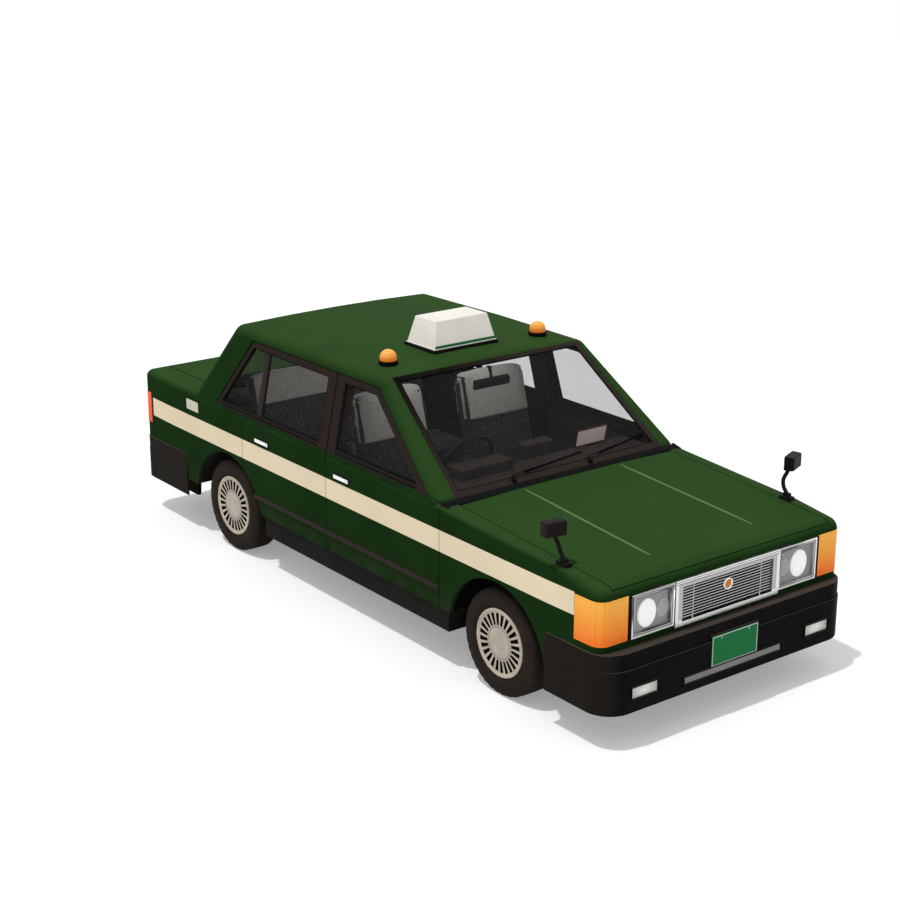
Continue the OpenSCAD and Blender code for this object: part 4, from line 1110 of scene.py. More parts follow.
def rear_detail():
    """The bright bar with its lock over the rear plate, lamp dividers, reflectors and the fuel flap."""
    face = -2.3033
    kit = Kit()
    kit.box((face - 0.0105, -0.290, 0.874), (face + 0.0005, 0.290, 0.900), CHROME)
    kit.box((face - 0.0118, -0.278, 0.883), (face - 0.0100, 0.278, 0.891), SATIN)
    kit.disc((face - 0.010, 0, 0.887), -X,
             [(0.0175, 0), (0.0175, 0.0035), (0.015, 0.0050), (0.0115, 0.0050),
              (0.0105, 0.0040), (0.001, 0.0040)], CHROME, 40)
    kit.box((face - 0.0152, -0.0065, 0.8857), (face - 0.0135, 0.0065, 0.8883), BLACK)
    for y in (-0.110, 0.110):
        kit.box((face - 0.0180, y - 0.030, 0.866), (face + 0.0005, y + 0.030, 0.8745), BLACK)
        kit.box((face - 0.0160, y - 0.022, 0.8640), (face - 0.0040, y + 0.022, 0.8665), LAMP_WHITE)
    kit.done("boot_garnish", "boot_lid", bevel=0.002)
    for hand, sign in SIDES:
        kit = Kit()
        x0, x1 = -2.3090, -2.3055
        kit.box((x0, sign * 0.6020, 0.6225), (x1, sign * 0.6060, 0.8245), BLACK)
        kit.box((x0, sign * 0.4735, 0.7245), (x1, sign * 0.6040, 0.7285), BLACK)
        for z in (0.6205, 0.8225):
            kit.box((x0, sign * 0.4710, z), (x1, sign * 0.8480, z + 0.0040), BLACK)
        kit.box((x0, sign * 0.4710, 0.6205), (x1, sign * 0.4750, 0.8265), BLACK)
        kit.done(f"tail_lamp_frame_{hand}", bevel=0.0006)
        kit = Kit()
        kit.box((-2.3440, sign * 0.625, 0.300), (-2.3340, sign * 0.735, 0.334), REFLECTOR)
        kit.done(f"rear_reflector_{hand}", bevel=0.002)
    kit = Kit()
    corners = [(-1.860 + 0.135 * a, BODY_SIDE, 0.525 + 0.125 * b) for a, b in
               ((0.06, 0), (0.94, 0), (1, 0.06), (1, 0.94), (0.94, 1), (0.06, 1), (0, 0.94), (0, 0.06))]
    kit.prism(corners, Y * 0.0022, PAINT)
    kit.done("fuel_flap", bevel=0.0008)
    kit = Kit()
    kit.prism([(x, -0.8797, z) for x, z in ((-1.721, 0.837), (-1.573, 0.837), (-1.573, 0.905),
                                            (-1.721, 0.905))], Y * -0.0010, STICKER)
    kit.done("quarter_sticker", bevel=0.0004)


bumper_detail()
rear_detail()
plate("front_plate", 2.3426, 1, PLATE_FOOT["front"], PLATE)
plate("rear_plate", -2.3036, -1, PLATE_FOOT["rear"], REAR_PLATE, "boot_lid")


# ---- Engine bay and boot ----

def engine_dressing():
    """Valve cover, air cleaner, intake and exhaust pipes, belt drive and fan on the plain block."""
    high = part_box("engine_block")[1]
    top, front = high.z, high.x
    kit = Kit()
    kit.box((1.190, -0.085, top - 0.002), (1.760, 0.075, top + 0.038), ENGINE)
    kit.box((1.200, -0.070, top + 0.036), (1.750, 0.060, top + 0.058), CASTING)
    for k in range(9):
        kit.box((1.225 + 0.062 * k, -0.066, top + 0.056), (1.237 + 0.062 * k, 0.056, top + 0.064),
                CASTING)
    kit.disc((1.700, -0.005, top + 0.055), Z,
             [(0.001, 0), (0.026, 0), (0.028, 0.016), (0.024, 0.024), (0.001, 0.025)], BLACK, 32)
    kit.disc((1.400, 0.130, top - 0.004), Z,
             [(0.060, 0), (0.060, 0.030), (0.150, 0.036), (0.152, 0.044), (0.152, 0.086),
              (0.146, 0.094), (0.040, 0.098), (0.036, 0.104), (0.001, 0.104)], BLACK, 64)
    kit.disc((1.400, 0.130, top + 0.099), Z,
             [(0.001, 0), (0.010, 0), (0.012, 0.006), (0.008, 0.016), (0.001, 0.016)], SATIN, 20)
    kit.tube(arc([(1.480, 0.245, top + 0.060), (1.580, 0.330, top + 0.062), (1.760, 0.345, top + 0.050),
                  (1.900, 0.330, top + 0.030)], 6), 0.030, RUBBER, 20)
    for k in range(4):
        x = 1.275 + 0.125 * k
        kit.tube(arc([(x, 0.180, top - 0.130), (x, 0.230, top - 0.080), (x, 0.215, top - 0.020),
                      (x * 0.6 + 0.56, 0.150, top + 0.010)], 5), 0.019, ENGINE, 14)
        kit.tube(arc([(x, -0.180, top - 0.110), (x, -0.235, top - 0.130),
                      (x - 0.010, -0.250, top - 0.215)], 5), 0.020, RUSTY, 14)
    kit.tube([(1.270, -0.250, top - 0.215), (1.660, -0.250, top - 0.215)], 0.026, RUSTY, 16)
    for x, y, z, r in ((front, 0, 0.560, 0.075), (front, 0, 0.385, 0.078), (front, 0.205, 0.620, 0.038)):
        pulley = [(0.001, 0), (r * 0.5, 0), (r * 0.5, 0.012), (r, 0.014), (r, 0.018), (r * 0.94, 0.022),
                  (r, 0.026), (r, 0.030), (r * 0.4, 0.032), (0.001, 0.034)]
        kit.disc((x - 0.002, y, z), X, pulley, SATIN, 40)
    kit.tube([(1.700, 0.205, 0.620), (1.805, 0.205, 0.620)], 0.058, ENGINE, 28)
    kit.done("engine_dressing", bevel=0.002)
    kit = Kit()
    hub = Vector((1.872, 0, 0.560))
    kit.disc(hub - X * 0.022, X, [(0.001, 0), (0.030, 0), (0.046, 0.006), (0.046, 0.026), (0.030, 0.034),
                                  (0.001, 0.034)], SATIN, 36)
    for k in range(7):
        angle = 2 * math.pi * k / 7
        way = Vector((0, math.cos(angle), math.sin(angle)))
        side = X.cross(way)
        rings = []
        for r, w, tilt in ((0.040, 0.020, 0.50), (0.110, 0.034, 0.42), (0.180, 0.042, 0.34)):
            flat = (side * math.cos(tilt) + X * math.sin(tilt)) * w
            rings.append([hub + way * r + flat - X * 0.0012, hub + way * r - flat - X * 0.0012,
                          hub + way * r - flat + X * 0.0012, hub + way * r + flat + X * 0.0012])
        kit.loft(rings, BLACK)
    kit.lathe((1.860, 0, 0.560), X, [(0.196, 0), (0.196, 0.062), (0.200, 0.062), (0.200, 0), (0.196, 0)],
              BLACK, 64)
    kit.box((1.922, -0.330, 0.395), (1.926, 0.330, 0.775), BLACK)
    kit.done("cooling_fan", bevel=0.0008)
    kit = Kit()
    kit.box((1.930, -0.345, 0.420), (1.962, 0.345, 0.752), SATIN)
    for k in range(46):
        y = -0.330 + 0.66 * k / 45
        kit.box((1.9615, y - 0.0022, 0.424), (1.9660, y + 0.0022, 0.748), STEEL)
    for z0, z1 in ((0.375, 0.422), (0.750, 0.800)):
        kit.box((1.922, -0.352, z0), (1.972, 0.352, z1), BLACK)
    kit.disc((1.945, -0.200, 0.798), Z, [(0.001, 0), (0.024, 0), (0.024, 0.010), (0.018, 0.016),
                                         (0.001, 0.016)], SATIN, 28)
    kit.tube(arc([(1.805, -0.060, 0.720), (1.850, -0.075, 0.765), (1.900, -0.180, 0.790),
                  (1.930, -0.200, 0.778)], 6), 0.019, RUBBER, 18)
    for y in (-0.420, 0.420):
        kit.box((1.930, y - 0.035, 0.760), (2.215, y + 0.035, 0.772), CHASSIS)
        kit.box((1.930, y - 0.035, 0.432), (1.952, y + 0.035, 0.762), CHASSIS)
    kit.box((1.930, -0.385, 0.800), (1.965, 0.385, 0.812), CHASSIS)
    kit.done("radiator", bevel=0.0012)


def bay_fittings():
    """Battery, washer tank, brake servo and its cylinder, and the lock platform."""
    shelf = 0.689
    kit = Kit()
    kit.box((1.715, 0.520, shelf), (1.925, 0.680, shelf + 0.012), CHASSIS)
    kit.box((1.722, 0.527, shelf + 0.010), (1.918, 0.673, shelf + 0.112), BATTERY)
    kit.box((1.722, 0.527, shelf + 0.112), (1.918, 0.673, shelf + 0.128), BLACK)
    for k in range(6):
        kit.disc((1.746 + 0.0295 * k, 0.600, shelf + 0.127), Z,
                 [(0.001, 0), (0.009, 0), (0.009, 0.004), (0.001, 0.004)], BATTERY, 20)
    for x in (1.742, 1.898):
        kit.disc((x, 0.645, shelf + 0.126), Z, [(0.001, 0), (0.0095, 0), (0.008, 0.016), (0.001, 0.016)],
                 SATIN, 20)
    kit.box((1.815, 0.515, shelf + 0.110), (1.827, 0.685, shelf + 0.134), CHASSIS)
    kit.box((1.740, -0.680, shelf), (1.900, -0.560, shelf + 0.105), BOTTLE)
    kit.disc((1.860, -0.620, shelf + 0.100), Z,
             [(0.001, 0), (0.024, 0), (0.024, 0.012), (0.027, 0.014), (0.027, 0.026),
              (0.001, 0.028)], BLACK, 32)
    servo = Vector((1.0425, -0.370, 0.755))
    drum = [(0.001, 0), (0.095, 0), (0.105, 0.018), (0.110, 0.050), (0.108, 0.058), (0.100, 0.066),
            (0.080, 0.096), (0.040, 0.108), (0.030, 0.110), (0.001, 0.110)]
    kit.disc(servo, X, drum, BLACK, 56)
    kit.tube([servo + X * 0.105, servo + X * 0.235], 0.021, ENGINE, 20)
    kit.box((1.160, -0.397, 0.778), (1.262, -0.343, 0.826), BOTTLE)
    kit.box((1.164, -0.393, 0.826), (1.258, -0.347, 0.838), BLACK)
    kit.box((1.0420, -0.250, 0.800), (1.0520, 0.640, 0.806), CHASSIS)
    kit.box((2.185, -0.090, 0.772), (2.205, 0.090, 0.812), CHASSIS)
    kit.done("bay_fittings", bevel=0.0025)
    kit = Kit()
    kit.box((-2.180, -0.560, RAISED_FLOOR), (-1.660, 0.560, 0.4615), MAT)
    for k in range(31):
        x = -2.165 + 0.0162 * k
        kit.box((x, -0.545, 0.4610), (x + 0.006, 0.545, 0.4632), MAT)
    kit.done("boot_mat", bevel=0.001)


engine_dressing()
bay_fittings()


# ---- Roof sign, roof lamps and mirrors ----

def roof_furniture():
    """The green stripe at the roof sign's foot, and the two ribbed amber lamps."""
    kit = Kit()
    lean = (1.654 - 1.497) / (0.091 - 0.055)
    x, y, z, tall = 0.0918, 0.2245, 1.4985, 0.018
    kit.prism([(x, -y, z), (x, y, z), (x - tall / lean, y - 0.0042, z + tall),
               (x - tall / lean, -y + 0.0042, z + tall)], X * -0.001, SIGN_GREEN)
    kit.done("sign_stripe")
    for hand, sign in SIDES:
        kit = Kit()
        centre = Vector((0.087, sign * 0.557, 1.484))
        kit.disc(centre, Z, [(0.0565, -0.012), (0.0565, 0.004), (0.054, 0.0075), (0.050, 0.008),
                             (0.001, 0.008)], BLACK, 56)
        dome = [(0.0485, 0.006), (0.0495, 0.012), (0.0500, 0.022)]
        dome += [(0.050 * math.cos(math.radians(v)), 0.022 + 0.0495 * math.sin(math.radians(v)))
                 for v in range(6, 90, 6)] + [(0.001, 0.0715)]
        ribs = [(2 * math.pi * k / 60, 1 if k % 2 else 0.975) for k in range(60)]
        rings = [[centre + Z * d + Vector((math.cos(t), math.sin(t), 0)) * (r * rib) for t, rib in ribs]
                 for r, d in dome]
        kit.loft(rings, DOME)
        obj = kit.done(f"roof_lamp_{hand}")
        if hand == "right":
            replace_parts(obj, "roof_lamps")


def fender_mirror(hand, sign):
    """A boxed head on a bent arm with a foot on the fender."""
    foot = Vector((1.9265, sign * 0.806, 0.884))
    kit = Kit()
    kit.box((foot.x - 0.042, foot.y - 0.0215, 0.8705), (foot.x + 0.036, foot.y + 0.0215, 0.8915),
            MIRROR_BLACK)
    kit.box((foot.x - 0.022, foot.y - 0.014, 0.8915), (foot.x + 0.018, foot.y + 0.014, 0.9095),
            MIRROR_BLACK)
    path = arc([foot + Z * 0.018, (foot.x - 0.030, foot.y + sign * 0.002, 0.935),
                (foot.x - 0.041, foot.y + sign * 0.008, 0.975), (foot.x - 0.037, sign * 0.835, 1.010),
                (foot.x - 0.034, sign * 0.853, 1.043)], 5)
    kit.tube(path, 0.0112, MIRROR_BLACK, 12)
    y0, y1, z0, z1 = sign * 0.796, sign * 0.924, 1.0335, 1.1145
    rear, front = 1.8770, 1.9340
    middle_y, middle_z = (y0 + y1) / 2, (z0 + z1) / 2
    octagon = ((1, 0.9), (0.9, 1), (-0.9, 1), (-1, 0.9), (-1, -0.9), (-0.9, -1), (0.9, -1), (1, -0.9))
    turn = Matrix.Rotation(math.radians(22 if sign > 0 else -8), 3, "Z")
    pivot = Vector(((rear + front) / 2, middle_y, middle_z))
    rings = []
    for x, k in ((front, 0.86), (front - 0.004, 0.93), (front - 0.014, 0.98), (rear + 0.012, 1.0),
                 (rear, 1.0)):
        hy, hz = abs(y1 - y0) / 2 * k, (z1 - z0) / 2 * k
        rings.append([turn @ (Vector((x, middle_y + a * hy, middle_z + b * hz)) - pivot) + pivot
                      for a, b in octagon])
    kit.loft(rings, MIRROR_BLACK)
    kit.box((rear - 0.0012, middle_y - 0.056, middle_z - 0.033),
            (rear + 0.004, middle_y + 0.056, middle_z + 0.033), MIRROR, turn, pivot)
    return kit.done(f"fender_mirror_{hand}", bevel=0.0018)


roof_furniture()
fender_mirror("left", 1)
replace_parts(fender_mirror("right", -1), "fender_mirrors")


# ---- Seats ----

def box_cage(size, crown, cells, square):
    """A crowned block on the XY plane, rounded less the higher its squareness."""
    length, width, height = size
    mesh = bmesh.new()
    bmesh.ops.create_cube(mesh, size=2)
    bmesh.ops.subdivide_edges(mesh, edges=mesh.edges, cuts=cells, use_grid_fill=True)
    for v in mesh.verts:
        x, y, z = v.co
        rounding = (abs(x) ** square + abs(y) ** square + abs(z) ** 4) ** (1 / square)
        x, y, z = x / max(rounding, 1), y / max(rounding, 1), z / max(rounding, 1)
        dome = (1 - x * x) * (1 - y * y)
        pull = 1 - 0.02 * (1 - abs(z)) * (1 - x * x)
        v.co = (x * length / 2, y * width / 2 * pull,
                (z + 1) * height / 2 + (crown * dome if z > 0 else 0))
    return mesh


def remesh(obj, voxel):
    """Turns the block into an even mesh."""
    modifier = obj.modifiers.new("remesh", "REMESH")
    modifier.mode, modifier.voxel_size = "VOXEL", voxel
    data = bpy.data.meshes.new_from_object(obj.evaluated_get(bpy.context.evaluated_depsgraph_get()))
    obj.modifiers.clear()
    obj.data = data


def puff(obj, pressure, cap):
    """Inflates the pad with Blender's cloth while its underside is held, and applies the result."""
    before = [v.co.copy() for v in obj.data.vertices]
    held = obj.vertex_groups.new(name="held")
    held.add([v.index for v in obj.data.vertices if v.co.z < 0.012], 1.0, "REPLACE")
    cloth = obj.modifiers.new("cloth", "CLOTH")
    settings = cloth.settings
    settings.quality, settings.mass = 5, 0.2
    settings.tension_stiffness = settings.compression_stiffness = 20
    settings.shear_stiffness, settings.bending_stiffness = 8, 2
    settings.use_pressure, settings.uniform_pressure_force = True, pressure
    settings.effector_weights.gravity = 0
    settings.vertex_group_mass = "held"
    cloth.collision_settings.use_collision = False
    scene = bpy.context.scene
    scene.frame_start, scene.frame_end = 1, 20
    for frame_number in range(1, 21):
        scene.frame_set(frame_number)
    swollen = obj.evaluated_get(bpy.context.evaluated_depsgraph_get()).to_mesh()
    after = [v.co.copy() for v in swollen.vertices]
    obj.modifiers.clear()
    scene.frame_set(1)
    for v, old, new in zip(obj.data.vertices, before, after):
        move = new - old
        v.co = old + move * min(1.0, cap / max(move.length, 1e-9))


def upholstered(obj):
    """Rounds a cloth piece's facets and puts it on the body."""
    rounding = obj.modifiers.new("subdivide", "SUBSURF")
    rounding.levels = rounding.render_levels = 1
    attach(obj, "body")
    return obj


def stuffed(obj):
    """Finishes a pad."""
    upholstered(obj)
    return obj


def pad(name, size, crown, voxel, channels, place, square=8):
    """A stuffed pad: remeshed, inflated, then sewn along its channels and welted round its top edge.

    channels lists (axis, position, reach) in the pad's own plane, axis 0 for a seam that runs across X.
    """
    mesh = box_cage(size, crown, 11, square)
    data = bpy.data.meshes.new(name)
    mesh.to_mesh(data)
    mesh.free()
    obj = add(name, data)
    remesh(obj, voxel)
    puff(obj, 4.0, 0.014)
    obj.data.update()
    length, width, height = size
    channel_depth, welt_rise, welt_fall = 0.010, 0.0035, 0.0030
    normals = [v.normal.copy() for v in obj.data.vertices]
    for v, normal in zip(obj.data.vertices, normals):
        x, y, z = v.co
        top = max(0.0, min(1.0, (z - height * 0.55) / (height * 0.3)))
        sink = 0.0
        for axis, at, reach in channels:
            here, along = (x, y) if axis == 0 else (y, x)
            fade = max(0.0, min(1.0, (reach - abs(along)) / 0.02))
            sink += channel_depth * math.exp(-((here - at) / 0.0085) ** 2) * fade
        edge = min(length / 2 - abs(x), width / 2 - abs(y))
        sink -= welt_rise * math.exp(-((edge - 0.021) / 0.0055) ** 2)
        sink += welt_fall * math.exp(-((edge - 0.036) / 0.0070) ** 2)
        wrinkle = 0.0012 * math.sin(x * 37 + y * 11) * math.sin(y * 29 - x * 7)
        v.co = v.co - normal * (top * sink + wrinkle)
    data = obj.data
    data.materials.clear()
    for material in (SEAT, SEAT_SIDE):
        data.materials.append(material)
    for face in data.polygons:
        at_edge = min(length / 2 - abs(face.center.x), width / 2 - abs(face.center.y)) < 0.018
        is_side = face.center.z < height * 0.62 or (at_edge and face.normal.z < 0.35)
        face.material_index = 1 if is_side else 0
        face.use_smooth = True
    data.transform(place)
    return stuffed(obj)


def reflected(source, name):
    """The same pad on the car's other side."""
    data = source.data.copy()
    data.transform(Matrix.Scale(-1, 4, Y))
    data.flip_normals()
    return stuffed(add(name, data))


def leaning(size, foot, y):
    """Where a seat back goes: its own +Z faces the nose and its +X runs up."""
    length, _, thick = size
    turn = Matrix.Rotation(math.radians(-14), 4, "Y")
    own = Matrix(((0, 0, 1, 0), (0, -1, 0, 0), (1, 0, 0, 0), (0, 0, 0, 1)))
    x, z = foot
    return Matrix.Translation((x, y, z)) @ turn @ Matrix.Translation((-thick, 0, length / 2)) @ own


SEAT_Y = 0.3925
# Each back's height, width and thickness, and the x and z of its foot.
FRONT_BACK, FRONT_FOOT = (0.7250, 0.500, 0.108), (0.0415, 0.548)
REAR_BACK, REAR_FOOT = (0.560, 1.340, 0.104), (-1.1225, 0.590)
BACK_CHANNELS = [(0, -0.20, 0.17), (0, -0.09, 0.17), (0, 0.02, 0.17), (1, -0.185, 0.32), (1, 0.185, 0.32)]
SEAT_CHANNELS = [(0, -0.10, 0.17), (0, 0.02, 0.17), (0, 0.13, 0.17), (1, -0.185, 0.21), (1, 0.185, 0.21)]


def make_seats():
    """The seats' cushions and backs. Returns the backs."""
    cushion = pad("front_cushion_left", (0.490, 0.505, 0.118), 0.012, 0.009, SEAT_CHANNELS,
                  Matrix.Translation((0.2565, SEAT_Y, 0.446)))
    reflected(cushion, "front_cushion_right")
    left = pad("front_back_left", FRONT_BACK, 0.010, 0.009, BACK_CHANNELS,
               leaning(FRONT_BACK, FRONT_FOOT, SEAT_Y), 12)
    right = reflected(left, "front_back_right")
    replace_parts(cushion, "front_seats")
    bench = pad("rear_cushion", (0.500, 1.350, 0.118), 0.010, 0.012,
                [(0, -0.10, 0.60), (0, 0.04, 0.60), (1, -0.34, 0.2), (1, 0.34, 0.2), (1, 0.0, 0.2)],
                Matrix.Translation((-0.920, 0, 0.466)))
    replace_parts(bench, "rear_seat")
    rear = pad("rear_back", REAR_BACK, 0.008, 0.012,
               [(0, -0.16, 0.60), (0, -0.04, 0.60), (1, -0.34, 0.24), (1, 0.34, 0.24), (1, 0.0, 0.24)],
               leaning(REAR_BACK, REAR_FOOT, 0), 12)
    return left, right, rear


def cover_sheet(name, seat, size, place, drop, columns):
    """A cloth cover over the top of a seat back: down its front, over its head and down behind."""
    tree, (length, width, thick) = surface(seat), size
    reach, clearance = length / 2, 0.0055
    path = [(reach - drop * (1 - k / 14), thick + 0.03) for k in range(14)]
    path += [(reach + 0.03 * math.sin(a) + 0.01, thick / 2 + (thick / 2 + 0.03) * math.cos(a))
             for a in (math.pi * k / 10 for k in range(11))]
    path += [(reach - drop * 0.86 * k / 14, -0.03) for k in range(1, 15)]
    rows = []
    for u, (up, out) in enumerate(path):
        row = []
        for k in range(columns + 1):
            across = (k / columns - 0.5) * width
            start = place @ Vector((up, across, out))
            target = place @ Vector((min(up, reach - 0.05), across * 0.93, thick * 0.5))
            spot, normal, _, _ = tree.ray_cast(start, (target - start).normalized(), 0.5)
            if spot is None:
                spot, normal, _, _ = tree.find_nearest(start)
            ripple = 0.0011 * math.sin(across * 46 + u * 0.5)
            ripple += 0.0010 * math.sin(across * 21 - u * 0.31 + 1)
            hem = 0.0016 if u < 2 or u > len(path) - 3 else 0.0
            row.append(spot + normal * (clearance + ripple + hem))
        rows.append(row)
    kit = Kit()
    kit.loft(rows, COVER_CLOTH, caps=False, wrap=False)
    bmesh.ops.smooth_vert(kit.mesh, verts=[v for v in kit.mesh.verts if not v.is_boundary], factor=0.5,
                          use_axis_x=True, use_axis_y=True, use_axis_z=True)
    obj = kit.as_object(name)
    for face in obj.data.polygons:
        face.use_smooth = True
    upholstered(obj)
    thin = obj.modifiers.new("thickness", "SOLIDIFY")
    thin.thickness, thin.offset = 0.0016, 1


left_back, right_back, rear_back = make_seats()
for hand, sign, back in (("left", 1, left_back), ("right", -1, right_back)):
    cover_sheet(f"front_cover_{hand}", back, FRONT_BACK, leaning(FRONT_BACK, FRONT_FOOT, sign * SEAT_Y),
                0.295, 34)
cover_sheet("rear_cover", rear_back, REAR_BACK, leaning(REAR_BACK, REAR_FOOT, 0), 0.205, 80)


def seat_bases():
    """Slides, pedestals, recliners and plastic pans under the front cushions, and the rear seat's base.
    """
    for hand, sign in SIDES:
        kit = Kit()
        for y in (0.175, 0.605):
            kit.box((0.020, sign * y - 0.018, CABIN_FLOOR), (0.480, sign * y + 0.018, 0.306), SATIN)
            kit.box((0.045, sign * y - 0.011, 0.306), (0.465, sign * y + 0.011, 0.400), CHASSIS)
        for x in (0.06, 0.25, 0.44):
            kit.tube([(x, sign * 0.180, 0.385), (x, sign * 0.600, 0.385)], 0.011, CHASSIS)
        kit.box((0.018, sign * 0.150, 0.400), (0.490, sign * 0.635, 0.444), CABIN_BLACK)
        kit.tube([(0.475, sign * 0.30, 0.330), (0.508, sign * 0.30, 0.345), (0.508, sign * 0.48, 0.345),
                  (0.475, sign * 0.48, 0.330)], 0.006, CHASSIS)
        for y in (0.135, 0.640):
            kit.disc((0.022, sign * y, 0.530), Y * sign, [(0.001, -0.006), (0.042, -0.006), (0.044, 0),
                                                          (0.040, 0.006), (0.001, 0.008)],
                     CABIN_BLACK, 32)
        kit.done(f"seat_base_{hand}", bevel=0.002)
    kit = Kit()
    kit.box((-1.150, -0.535, RAISED_FLOOR), (-0.690, 0.535, 0.466), CABIN_BLACK)
    kit.box((-0.700, -0.675, RAISED_FLOOR), (-0.676, 0.675, 0.500), CABIN_BLACK)
    kit.done("rear_seat_base", bevel=0.003)


seat_bases()


# ---- Inside of the rear quarters ----

def quarter_linings():
    """Closes each wheelhouse out to the body's side, with a seal by the door and a panel by the seat."""
    centre = Vector((-1.2295, 0, 0.253))
    for hand, sign in SIDES:
        kit = Kit()
        for start, end, outer, lip in ((63, 167, 0.8535, 0.4135), (18, 63, 0.7705, 0.4360)):
            rings = []
            for k in range(29):
                angle = math.radians(start + (end - start) * k / 28)
                way = Vector((math.cos(angle), 0, math.sin(angle)))
                rings.append([centre + way * r + Y * sign * y for r, y in
                              ((0.4030, 0.7575), (0.4030, outer), (lip, outer), (lip, outer - 0.003),
                               (0.4130, outer - 0.003), (0.4130, 0.7575))])
            kit.loft(rings, UNDERBODY)
        kit.done(f"arch_liner_{hand}", bevel=0.001)
        kit = Kit()
        outline = [(-1.046, 0.625), (-1.100, 0.652), (-1.160, 0.666), (-1.2295, 0.670), (-1.320, 0.662),
                   (-1.430, 0.630), (-1.430, 0.915), (-1.046, 0.915)]
        kit.prism([(x, sign * 0.8525, z) for x, z in outline], Y * sign * -0.010, TRIM_VINYL)
        kit.box((-1.400, sign * 0.8430, 0.846), (-1.060, sign * 0.8405, 0.854), SATIN)
        kit.done(f"quarter_trim_{hand}", bevel=0.002)


quarter_linings()


# ---- Cabin ----

def dash_detail():
    """Gauges, radio, vents and glove box, fare meter and the dash-top sign."""
    face, back, hood_x, meter_x = 0.6845, 0.6865, 0.6315, 0.5965
    kit = Kit()
    kit.box((hood_x - 0.0035, -0.545, 0.940), (hood_x + 0.001, -0.195, 0.993), CABIN_BLACK)
    r = 0.0225
    for y in (-0.300, -0.370, -0.440):
        centre = (hood_x - 0.0034, y, 0.9665)
        kit.disc(centre, -X, [(r, 0), (r, 0.0024), (r - 0.002, 0.003), (r - 0.0035, 0.0012),
                              (0.001, 0.0012)], SATIN, 40)
        kit.disc(centre, -X, [(r - 0.004, 0.0010), (r - 0.004, 0.0016), (0.001, 0.0016)], BLACK, 40)
        for k in range(11):
            angle = math.radians(-130 + 26 * k)
            spoke = Vector((0, math.sin(angle), math.cos(angle)))
            kit.tube([Vector(centre) - X * 0.0019 + spoke * (r - 0.0085),
                      Vector(centre) - X * 0.0019 + spoke * (r - 0.0055)], 0.0005, LAMP_WHITE, 6)
        kit.tube([Vector(centre) - X * 0.0024, Vector(centre) - X * 0.0024 + Vector((0, -0.010, 0.007))],
                 0.0007, ORANGE, 6)
    kit.done("gauges", bevel=0.0006)
    kit = Kit()
    kit.box((back - 0.006, -0.100, 0.430), (back, 0.100, 0.600), CABIN_BLACK)
    for z0, z1 in ((0.555, 0.592), (0.505, 0.547)):
        kit.box((back - 0.009, -0.088, z0), (back - 0.005, 0.088, z1), SATIN)
        kit.box((back - 0.0105, -0.050, z0 + 0.006), (back - 0.008, 0.050, z1 - 0.006), BLACK)
        for y in (-0.073, 0.073):
            kit.disc((back - 0.009, y, (z0 + z1) / 2), -X, [(0.0105, 0), (0.0105, 0.010), (0.008, 0.013),
                                                            (0.001, 0.013)], CABIN_BLACK, 28)
    for k in range(5):
        y = -0.064 + 0.032 * k
        kit.box((back - 0.0115, y - 0.011, 0.468), (back - 0.005, y + 0.011, 0.486), CABIN_BLACK)
    kit.done("radio", bevel=0.0012)
    kit = Kit()
    for y in (-0.650, -0.075, 0.225, 0.650):
        kit.box((face - 0.0035, y - 0.062, 0.862), (face, y + 0.062, 0.905), CABIN_BLACK)
        for k in range(5):
            z = 0.869 + 0.0073 * k
            kit.box((face - 0.0070, y - 0.055, z), (face - 0.0030, y + 0.055, z + 0.0030), CABIN_BLACK)
        kit.box((face - 0.0095, y - 0.004, 0.880), (face - 0.006, y + 0.004, 0.888), SATIN)
    kit.box((face - 0.0050, 0.235, 0.700), (face, 0.640, 0.838), DASH)
    kit.box((face - 0.0085, 0.405, 0.806), (face - 0.004, 0.470, 0.824), CABIN_BLACK)
    kit.box((face - 0.0045, -0.700, 0.846), (face, 0.700, 0.851), SATIN)
    kit.done("dash_fittings", bevel=0.0018)
    kit = Kit()
    kit.box((meter_x, -0.0275, 0.9440), (back, 0.1885, 1.0230), DASH)
    kit.box((meter_x - 0.0030, -0.018, 0.952), (meter_x + 0.001, 0.179, 1.014), CABIN_BLACK)
    kit.box((meter_x - 0.0045, -0.006, 0.976), (meter_x - 0.002, 0.118, 1.006), BLACK)
    for k in range(3):
        y = 0.130 + 0.0150 * k
        kit.box((meter_x - 0.0055, y, 0.982), (meter_x - 0.002, y + 0.011, 1.000), SATIN)
    for k in range(7):
        y = -0.004 + 0.025 * k
        kit.box((meter_x - 0.0050, y, 0.957), (meter_x - 0.002, y + 0.018, 0.967), LAMP_GREY)
    kit.done("fare_meter", bevel=0.0010)
    kit = Kit()
    turn = Matrix.Rotation(math.radians(12), 3, "Y")
    about = (0.690, 0.4550, 0.945)
    kit.box((0.688, 0.337, 0.946), (0.696, 0.573, 1.058), CABIN_BLACK, turn, about)
    kit.box((0.6955, 0.341, 0.950), (0.6970, 0.569, 1.054), SIGN_RED, turn, about)
    kit.box((0.6965, 0.346, 0.955), (0.6978, 0.564, 1.049), SIGN_PALE, turn, about)
    kit.box((0.672, 0.425, 0.9405), (0.712, 0.485, 0.948), CABIN_BLACK)
    kit.done("dash_sign", bevel=0.0015)


